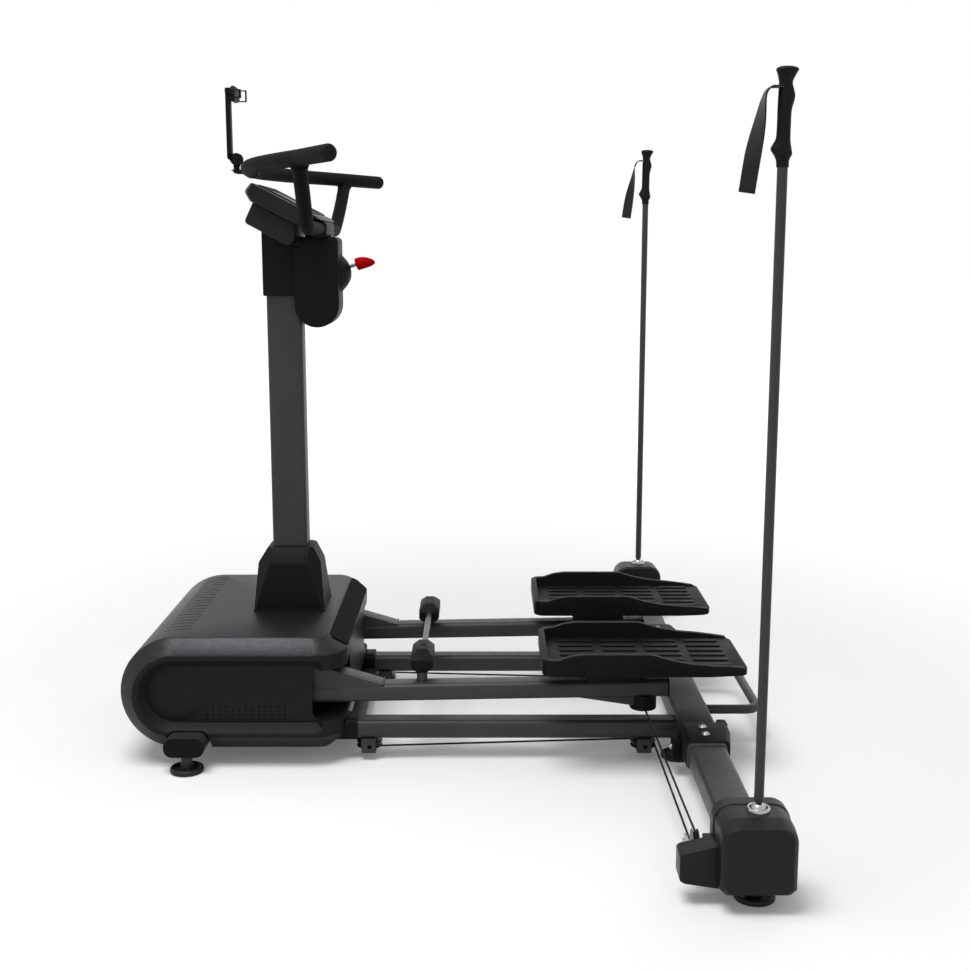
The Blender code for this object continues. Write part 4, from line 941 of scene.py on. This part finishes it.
def make_console():
    rear = fillet([(-0.4025, 1.1507), (-0.422, 1.11), (-0.328, 1.06), (-0.3165, 1.083), (-0.318, 1.1067)],
                  (0.002, 0.008, 0.01, 0.01, 0.002), 4)
    back = soft(along_y("console_shell", rear, -0.1, 0.1), 0.006, 4, 40)
    wedge = [(-0.3285, 1.059), (-0.316, 1.059), (-0.316, 1.083), (-0.3285, 1.064)]
    wedge = along_y("wedge", wedge, -0.037, 0.037)
    back = group("console_shell", [back, wedge])
    dress(back, "box_plastic", "base", "console_back")
    top = fillet([(-0.4, 1.19), (-0.262, 1.119), (-0.26, 1.1145), (-0.293, 1.1145), (-0.306, 1.101),
                  (-0.404, 1.152), (-0.415, 1.172)], (0.006, 0.003, 0.001, 0.006, 0.004, 0.006, 0.01), 4)
    mid = Vector((-0.335, 1.14))
    stations = [(-0.135, 0.0075), (-0.1345, 0.006), (-0.1265, 0.0008), (-0.125, 0.0)]
    stations += [(-y, inset) for y, inset in reversed(stations)]
    rings = []
    for y, inset in stations:
        ring = []
        for x, z in top:
            d = Vector((x, z)) - mid
            p = mid + d * (1 - inset / max(d.length, 0.02) * 0.9)
            ring.append((p.x, y, p.y))
        rings.append(ring)
    dress(loft("console_body", rings), "console_gloss", "base", "console_face", angle=24)
    frame_top = plate("console_frames", 0.012, 0.136, 0.113, 0.0026, 0.0012, 0.008)
    recess = plate("tool", 0.02, 0.128, 0.105, 0.006, 0.0004, 0.006, 0.0004)
    cut(frame_top, recess)
    inner = plate("inner", 0.026, 0.1, 0.09, 0.0022, 0.001, 0.006, -0.002)
    cut(inner, plate("tool", 0.031, 0.095, 0.0845, 0.005, 0.0003, 0.004, 0.0008))
    dress(group("console_frames", [frame_top, inner]), "black_plastic", "base")
    screen = plate("console_screen", 0.0313, 0.0947, 0.0842, 0.001, 0.0002, 0.004, -0.001)
    dress(screen, "screen_glass", "base")
    rows = []
    for y in (-0.075, -0.045, -0.015, 0.015, 0.045, 0.075):
        loop = rounded(0.1065, 0.1185, y - 0.0105, y + 0.0105, 0.0055, 4)
        key = loft("key", [[on_face(a, h, b) for a, b in loop] for h in (-0.001, 0.0021)])
        rows.append(soft(key, 0.0007, 2, 40))
    dress(group("console_keys", rows), "black_plastic", "base")


def make_handlebar():
    half = [(-0.419, 0.0), (-0.413, 0.08), (-0.388, 0.17), (-0.352, 0.252), (-0.308, 0.335),
            (-0.263, 0.415), (-0.225, 0.49), (-0.193, 0.553)]
    pts = [(x, -y, BAR_Z) for x, y in reversed(half)] + [(x, y, BAR_Z) for x, y in half[1:]]
    path = smooth(pts, 5)
    dress(sweep("bar_foam", path, BAR_R, 32), "bar_foam", "base", "handlebar")
    steps = frames(path)
    caps = []
    for p, t, side, up in ((steps[0][0], -steps[0][1], steps[0][2], steps[0][3]), steps[-1]):
        rings = [(BAR_R - 0.001, -0.002), (BAR_R - 0.0001, 0.0), (BAR_R - 0.0006, 0.0018),
                 (BAR_R - 0.002, 0.0036), (BAR_R - 0.0045, 0.0047), (BAR_R - 0.008, 0.0051), (0.001, 0.0052)]
        caps.append(loft("cap", [hoop(p + t * h, side, up, r, r, 32) for r, h in rings]))
    dress(group("bar_caps", caps), "grip_rubber", "base")
    post = [POST_TIP, POST_NEXT, (-0.267, -0.34, 1.156), (-0.2695, -0.3, 1.128),
            (-0.2715, -0.27, 1.109), (-0.272, -0.242, 1.0985), (-0.272, -0.21, 1.097)]
    low = smooth(post, 4) + [Vector((-0.272, y, 1.097)) for y in (-0.15, -0.05, 0.05, 0.15)]
    low += [Vector((p.x, -p.y, p.z)) for p in reversed(smooth(post, 4))]
    tube = sweep("bar_posts", low, 0.0145, 28)
    sleeves = []
    for s in (1, -1):
        tip, after = [Vector((x, s * y, z)) for x, y, z in (POST_TIP, POST_NEXT)]
        down = (after - tip).normalized()
        side = down.cross(Vector((1, 0, 0))).normalized()
        up = down.cross(side)
        rings = [(0.004, 0.012), (0.012, 0.019), (0.016, 0.018), (0.0215, 0.016), (0.028, 0.0153),
                 (0.0284, 0.0144)]
        sleeves.append(loft("sleeve", [hoop(tip + down * h, side, up, r, r, 32) for h, r in rings]))
    dress(group("bar_sleeves", sleeves), "bar_foam", "base")
    stem = block(-0.3052, -0.26, -0.03, 0.03, 1.04, 1.097, 0.003)
    cover = along_y("cover", rounded(-0.29, -0.254, 1.079, 1.114, 0.01), -0.075, 0.075)
    dress(group("bar_posts", [tube, stem]), "bar_foam", "base", "handlebar")
    dress(soft(cover, 0.005, 4, 40), "black_plastic", "base")


def make_lever():
    def stadium(grow, high, low):
        r, top = 0.0475 + grow, 1.081 + grow
        loop = [(-0.2815 + r * math.cos(math.radians(a)), 0.938 + r * math.sin(math.radians(a)))
                for a in range(180, 361, 6)]
        left, right = (-0.2815 - r, top), (-0.2815 + r, top)
        return loop + corner(loop[-1], right, left, high, 4) + corner(right, left, loop[0], low, 4)
    outline = stadium(0.0, 0.01, 0.008)
    inset = stadium(-0.0045, 0.008, 0.006)
    body = soft(along_y("pod_case", outline, -0.047, 0.047), 0.003, 4, 40)
    cheeks = [soft(along_y("cheek", inset, y, y + 0.01), 0.0012, 3, 40) for y in (-0.05, 0.04)]
    cut(body, box("tool", -0.34, -0.3052, -0.0383, 0.0383, 0.8, 1.2),
        box("tool", -0.32, -0.2597, -0.0303, 0.0303, 1.0397, 1.2),
        box("tool", -0.28, -0.19, -0.0045, 0.0045, 0.968, 1.04))
    for piece in [body] + cheeks:
        cut(piece, box("tool", -0.35, -0.3155, -0.06, 0.06, 1.0585, 1.1))
    pin = rod("pin", "y", (LEVER_X, 0, LEVER_Z), 0.004, -0.02, 0.02)
    dress(group("pod_case", [body, pin] + cheeks), "black_plastic", "base", "lever_pod")
    shape = smooth([(0.04, 0.0222, 0), (0.0372, 0.0258, 0), (0.032, 0.0305, 0), (0.0235, 0.0373, 0),
                    (0.012, 0.0427, 0), (0.001, 0.0444, 0)], 4)
    rim = [(0.03, 0.019), (0.0412, 0.0195), (0.0412, 0.0212), (0.0402, 0.0222)]
    dome = lathe("pod_dome", "x", (-0.2552, 0, LEVER_Z), rim + [(p.x, p.y) for p in shape[1:]], 56)
    cut(dome, box("tool", -0.26, -0.19, -0.0045, 0.0045, 0.964, 1.044))
    dress(dome, "black_plastic", "base")

    start = Vector((LEVER_X, 0, LEVER_Z))
    rim = even([(0.0043, -0.0042), (0.018, -0.0042), (0.0185, -0.0037)])
    hub = lathe("lever_rod", "y", start, rim, 40, ring=True)
    axis = (LEVER_END - start).normalized()
    shaft = sweep("shaft", [start + axis * 0.006, LEVER_END], 0.0037, 20)
    dress(group("lever_rod", [hub, shaft]), "dark_steel", "lever", "shift_lever")
    up = Vector((-axis.z, 0, axis.x))
    rings = []
    levels = ((0.0, 0.0, 0.0104, 0.0104), (0.0006, 0.0, 0.0122, 0.0125), (0.0018, 0.0002, 0.013, 0.0138),
              (0.007, 0.0004, 0.0134, 0.015), (0.014, 0.001, 0.013, 0.0155), (0.021, 0.0022, 0.012, 0.015),
              (0.027, 0.0036, 0.0105, 0.014), (0.0325, 0.0052, 0.0083, 0.012),
              (0.0365, 0.0063, 0.0061, 0.0096), (0.039, 0.007, 0.004, 0.0068),
              (0.0402, 0.0073, 0.0014, 0.0026))
    for along, drop, high, wide in levels:
        c = LEVER_END + axis * (0.0003 + along) - up * drop
        rings.append(hoop(c, Vector((0, 1, 0)), up, wide, high, 36))
    dress(loft("red_knob", rings), "knob_red", "lever", "lever_knob", angle=50)


def make_phone_holder():
    profile = even([(BAR_R - 0.0012, -0.0065), (BAR_R + 0.0004, -0.0065), (BAR_R + 0.0012, -0.0056)])
    ring = lathe("holder_clamp", "y", (-0.419, 0, BAR_Z), profile, 44, ring=True)
    bowl = fillet([(-0.4595, 1.222), (-0.4565, 1.2145), (-0.449, 1.2125), (-0.434, 1.2125), (-0.434, 1.222)],
                  (0.001, 0.004, 0.006, 0.001, 0.001), 4)
    parts = [ring, soft(along_y("bowl", bowl, -0.006, 0.006), 0.001, 2, 40),
             rod("neck", "z", (-0.451, 0, 0), 0.0066, 1.22, 1.2292, 32),
             block(-0.457, -0.443, -0.0035, 0.0035, 1.228, 1.244, 0.0006),
             rod("eye", "y", PHONE_HINGE, 0.008, -0.0035, 0.0035, 32)]
    dress(group("holder_clamp", parts), "black_plastic", "base", "phone_clamp")
    pin = rod("holder_pin", "x", (0, 0, 1.2205), 0.0016, -0.462, -0.435, 16, 0.0003)
    dress(pin, "dark_steel", "base")

    arm = rod("holder_arm", "y", PHONE_HINGE, 0.013, -0.009, 0.009, 40, 0.001)
    stick = fillet([(-0.469, 1.381), (-0.469, 1.244), (-0.459, 1.239), (-0.459, 1.381)],
                   (0.002, 0.006, 0.002, 0.002), 5)
    stick = along_y("stick", stick, -0.009, 0.009)
    web = box("web", -0.464, -0.45, -0.009, 0.009, 1.24, 1.254)
    join(arm, web)
    cut(arm, box("tool", -0.4645, -0.43, -0.0038, 0.0038, 1.22, 1.256))
    eye = rod("eye", "y", HEAD_HINGE, 0.0058, -0.009, 0.009, 32)
    cut(eye, rod("tool", "y", HEAD_HINGE, 0.0029, -0.02, 0.02, 24, 0.0001))
    cut(stick, rod("tool", "y", HEAD_HINGE, 0.0057, -0.02, 0.02, 32, 0.0001))
    rib = soft(box("rib", -0.466, -0.4594, -0.0055, 0.0055, 1.262, 1.37), 0.0005)
    dress(group("holder_arm", [arm, stick, eye, rib]), "black_plastic", "phone_arm", "phone_arm")
    screws = []
    for y in (-0.0088, 0.0088):
        screws.append(rod("screw", "y", PHONE_HINGE, 0.0052, y - 0.0008, y + 0.0008, 24, 0.0003))
    dress(group("holder_screws", screws), "black_plastic", "phone_arm")

    plate_back = along_x("holder_head", rounded(-0.03, 0.03, 1.36, 1.392, 0.013, 6), -0.455, -0.447)
    soft(plate_back, 0.0022)
    cut(plate_back, box("tool", -0.453, -0.449, -0.04, 0.015, 1.368, 1.376))
    parts = [plate_back, rod("pin", "y", HEAD_HINGE, 0.0025, -0.011, 0.011, 20, 0.0002)]
    for s in (-1, 1):
        parts.append(block(-0.469, -0.454, *pair(s, 0.0093, 0.0125), 1.377, 1.389, 0.0008))
    side = block(-0.448, -0.431, 0.034, 0.037, 1.364, 1.3885, 0.0009)
    cut(side, box("tool", -0.4465, -0.4335, 0.03, 0.04, 1.3664, 1.3861))
    parts += [block(-0.455, -0.447, 0.025, 0.037, 1.364, 1.3885, 0.001), side,
              block(-0.434, -0.431, 0.03, 0.037, 1.364, 1.3885, 0.0009)]
    dress(group("holder_head", parts), "black_plastic", "phone_head", "phone_head")
    pad = block(-0.4472, -0.446, -0.026, 0.026, 1.362, 1.39, 0.0005)
    dress(pad, "black_plastic", "phone_head")
    side = block(-0.4527, -0.431, -0.04, -0.0365, 1.365, 1.383, 0.0009)
    cut(side, box("tool", -0.4485, -0.434, -0.05, -0.03, 1.3672, 1.3808))
    parts = [block(-0.4527, -0.4493, -0.04, 0.01, 1.3683, 1.3757, 0.0004), side,
             block(-0.4345, -0.431, -0.04, -0.03, 1.365, 1.383, 0.0009)]
    dress(group("holder_jaw", parts), "black_plastic", "phone_jaw", "phone_jaw")


# Pulleys and cables

def make_pulleys():
    profile = even([(0.0044, -0.0055), (0.0216, -0.0055), (0.022, -0.0051), (0.022, -0.0042),
                    (0.0192, -0.0032), (0.0172, -0.002), (0.0167, 0.0)])
    wheel = lathe("box_wheel_left", "x", BOX_PULLEY, profile, 48, ring=True)
    both(wheel, "pulley_plastic", "box_pulley_left", "box_pulley_left")
    profile = even([(0.0044, -0.006), (0.0264, -0.006), (0.027, -0.0055), (0.027, -0.0045),
                    (0.0235, -0.0034), (0.0212, -0.002), (0.0207, 0.0)])
    for spot, x in (("front", FRONT_PULLEY_X), ("rear", REAR_PULLEY_X)):
        wheel = lathe(spot + "_wheel_left", "z", (x, -RAIL_Y, PULLEY_Z), profile, 48, ring=True)
        both(wheel, "pulley_plastic", spot + "_pulley_left", spot + "_pulley_left")


def arc(cx, cy, r, a0, a1, steps):
    turns = [math.radians(a0 + (a1 - a0) * i / steps) for i in range(steps + 1)]
    return [(cx + r * math.cos(t), cy + r * math.sin(t)) for t in turns]


def make_cables():
    """Drive cable from the drum, round the guide stud and the rail pulleys to the pole box pulley."""
    pts = [(x, -DRUM_Y, z) for x, z in arc(WHEEL_X, WHEEL_Z, DRUM_R + 0.0004, 195, 255.3, 14)]
    pts += [(-0.225, -DRUM_Y, PULLEY_Z + 0.004), (-0.21, -DRUM_Y, PULLEY_Z)]
    pts += [(x, y, PULLEY_Z) for x, y in arc(STUD_X, -STUD_Y, 0.0102, 90, 0, 8)]
    pts += [(x, y, PULLEY_Z) for x, y in arc(FRONT_PULLEY_X, -RAIL_Y, RUN_R, 180, 274.5, 18)]
    pts += [(x, y, PULLEY_Z) for x, y in arc(REAR_PULLEY_X, -RAIL_Y, RUN_R, 94.5, 0, 18)]
    for y, z in arc(BOX_PULLEY.y, BOX_PULLEY.z, BOX_RUN_R, 272.8, 92, 20):
        pts.append((BOX_PULLEY.x, y, z))
    top = BOX_PULLEY.z + BOX_RUN_R
    pts.append((BOX_PULLEY.x, BOX_PULLEY.y + 0.004, top))
    both(sweep("cable_run_left", pts, CABLE_R, 12), "cable_coat", "base", "long_cable_left")

    pts = smooth([(BOX_PULLEY.x, BOX_PULLEY.y + 0.0045, top), (0.424, -0.66, 0.0972), (0.42, -0.5, 0.0992),
                  (0.4165, -0.36, 0.101), (0.414, -0.262, 0.1022), (0.413, -0.24, 0.1026),
                  (0.413, -0.232, 0.1038), (HOOK_X, -HOOK_Y, HOOK_Z)], 6)
    for side, s in (("left", 1), ("right", -1)):
        run = sweep("arm_run_" + side, [(p.x, s * p.y, p.z) for p in pts], CABLE_R, 12)
        run.data.materials.append(LOOK["cable_coat"])
        run.data.shade_smooth()
        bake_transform(run)
        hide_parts("arm_cable_" + side)


# Poles, grips and wrist straps

def make_poles():
    turns = [math.radians(a) for a in range(6, 180, 12)]
    rows = [(0.0136 * math.sin(t), -0.0136 * math.cos(t)) for t in turns]
    ball = lathe("ball_left", "z", (POLE_X, -POLE_Y, BALL_Z), rows, 40)
    both(ball, "chrome_metal", "ball_left", "pole_ball_left")
    low = BALL_Z + 0.0142
    shaft = lathe("shaft_left", "z", (POLE_X, -POLE_Y, 0.0),
                  [(0.0066, low), (0.0078, low + 0.0016), (POLE_R, low + 0.004), (POLE_R, GRIP_LOW + 0.013),
                   (0.006, GRIP_LOW + 0.013), (0.006, 1.28)], 36)
    both(shaft, "pole_alloy", "pole_left", "pole_shaft_left")

    outline = [(0.0094, 0.0094, 1.1772), (0.0103, 0.0096, 1.1875), (0.0144, 0.0134, 1.1957),
               (0.019, 0.0124, 1.2034), (0.0156, 0.011, 1.2109), (0.0114, 0.0101, 1.2202),
               (0.0106, 0.0101, 1.2412), (0.0106, 0.0106, 1.2599), (0.0103, 0.015, 1.2786),
               (0.01, 0.0132, 1.289), (0.0098, 0.0106, 1.2996), (0.0118, 0.015, 1.31),
               (0.0144, 0.019, 1.317)]
    outline = [Vector((0.0084, 0.0084, 1.1775)), Vector((0.009, 0.009, 1.177))] + smooth(outline, 4)
    cap = ((0.0146, 0.0192, 1.318), (0.0142, 0.0188, 1.3192), (0.0124, 0.0166, 1.321),
           (0.009, 0.012, 1.3224), (0.0045, 0.006, 1.323), (0.0005, 0.0006, 1.3231))
    outline += [Vector(p) for p in cap]
    rings = []
    for p in outline:
        deep = min(p.x, p.y) * 0.9 + min(0.001, p.x * 0.1)
        loop = []
        for i in range(48):
            t = 2 * math.pi * i / 48
            reach = p.y if math.cos(t) > 0 else p.x
            loop.append((POLE_X + reach * math.cos(t), -POLE_Y + deep * math.sin(t), p.z))
        rings.append(loop)
    grip = loft("grip_left", rings)
    half = 0.0131
    cut(grip, box("tool", POLE_X - 0.03, POLE_X - 0.004, -POLE_Y - half, -POLE_Y + half, 1.2914, 1.2961))
    both(grip, "grip_rubber", "pole_left", "pole_grip_left", angle=38)


def make_strap(side, s):
    """Doubled webbing: level in its slot, turning broadside as it hangs."""
    run = smooth([(-0.0045, 0, 1.2938), (-0.014, 0, 1.2936), (-0.0225, 0, 1.2922), (-0.0305, 0, 1.2798),
                  (-0.0365, 0, 1.2408), (-0.045, 0, 1.1928), (-0.0522, 0, 1.1408)], 7)
    pts = [Vector((POLE_X + p.x, -POLE_Y, p.z)) for p in run]
    lengths = [0.0]
    for a, b in zip(pts, pts[1:]):
        lengths.append(lengths[-1] + (b - a).length)
    whole = lengths[-1]
    level = []
    for i, p in enumerate(pts):
        t = (pts[min(i + 1, len(pts) - 1)] - pts[max(i - 1, 0)]).normalized()
        turn = min(max((1.2818 - p.z) / 0.112, 0.0), 1.0) * math.pi / 2
        flat = Vector((0, 1, 0))
        wide = (flat * math.cos(turn) + flat.cross(t) * math.sin(turn)).normalized()
        level.append((p, t, wide, t.cross(wide)))
    gap, thick, half = 0.0008, 0.0009, STRAP_W / 2
    outer = [(p + n * gap, t, w, n, l) for (p, t, w, n), l in zip(level, lengths)]
    inner = [(p - n * gap, t, w, n, 2 * whole + STRAP_TURN - l) for (p, t, w, n), l in zip(level, lengths)]
    p, t, w, n = level[-1]
    turn_round = []
    for a in (45, 90, 135):
        c, si = math.cos(math.radians(a)), math.sin(math.radians(a))
        turn_round.append((p + t * gap * si * 1.3 + n * gap * c, (n * si * -1 + t * c), w, (n * c + t * si),
                           whole + STRAP_TURN * a / 180))
    line = outer + turn_round + list(reversed(inner))
    verts, lie, faces = [], [], []
    across = (-1.0, -0.97, -0.85, -0.5, 0.0, 0.5, 0.85, 0.97, 1.0)
    for k, (p, t, w, n, l) in enumerate(line):
        normal = n if k < len(outer) + len(turn_round) else -n
        for skin in (1, -1):
            for c in across:
                fat = thick / 2 * (0.45 if abs(c) > 0.99 else 1.0)
                verts.append(p + w * half * c + normal * fat * skin)
                lie.append((half * c, l, 0.0))
    n_across = len(across)
    row = 2 * n_across
    ring = list(range(n_across)) + list(range(row - 1, n_across - 1, -1))
    for k in range(len(line) - 1):
        for i in range(row):
            a, b = ring[i], ring[(i + 1) % row]
            faces.append((k * row + a, k * row + b, (k + 1) * row + b, (k + 1) * row + a))
    faces.append(tuple(ring))
    faces.append(tuple((len(line) - 1) * row + i for i in reversed(ring)))
    if s < 0:
        verts = [Vector((v.x, -v.y, v.z)) for v in verts]
        faces = [tuple(reversed(f)) for f in faces]
    mesh = bpy.data.meshes.new("strap_" + side)
    mesh.from_pydata([tuple(v) for v in verts], [], faces)
    mesh.update()
    mark = mesh.attributes.new("lie", "FLOAT_VECTOR", "POINT")
    for i, value in enumerate(lie):
        mark.data[i].vector = value
    strap = bpy.data.objects.new("strap_" + side, mesh)
    bpy.context.scene.collection.objects.link(strap)
    recalc(mesh, weld=False)
    dress(strap, "webbing", "pole_" + side, "wrist_strap_" + side, angle=60)


# Inside the housing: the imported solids, with their finish

def finish_inner_parts():
    for node, look in (("flywheel", "flywheel_iron"), ("cable_drum_left", "pulley_plastic"),
                       ("cable_drum_right", "pulley_plastic"), ("brake_shoe", "brake_steel")):
        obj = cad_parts[node]
        obj.data.materials.clear()
        obj.data.materials.append(LOOK[look])
        edge_bevel(obj, 0.0006, 2)


make_housing()
make_fascia()
make_side_panels()
make_main_frame()
make_rear_beam()
make_joints()
make_outer_beams()
make_pole_boxes()
make_feet()
make_arms()
make_link()
make_pedals()
make_mast()
make_collar()
make_console()
make_handlebar()
make_lever()
make_phone_holder()
make_pulleys()
make_cables()
make_poles()
make_strap("left", 1)
make_strap("right", -1)
finish_inner_parts()
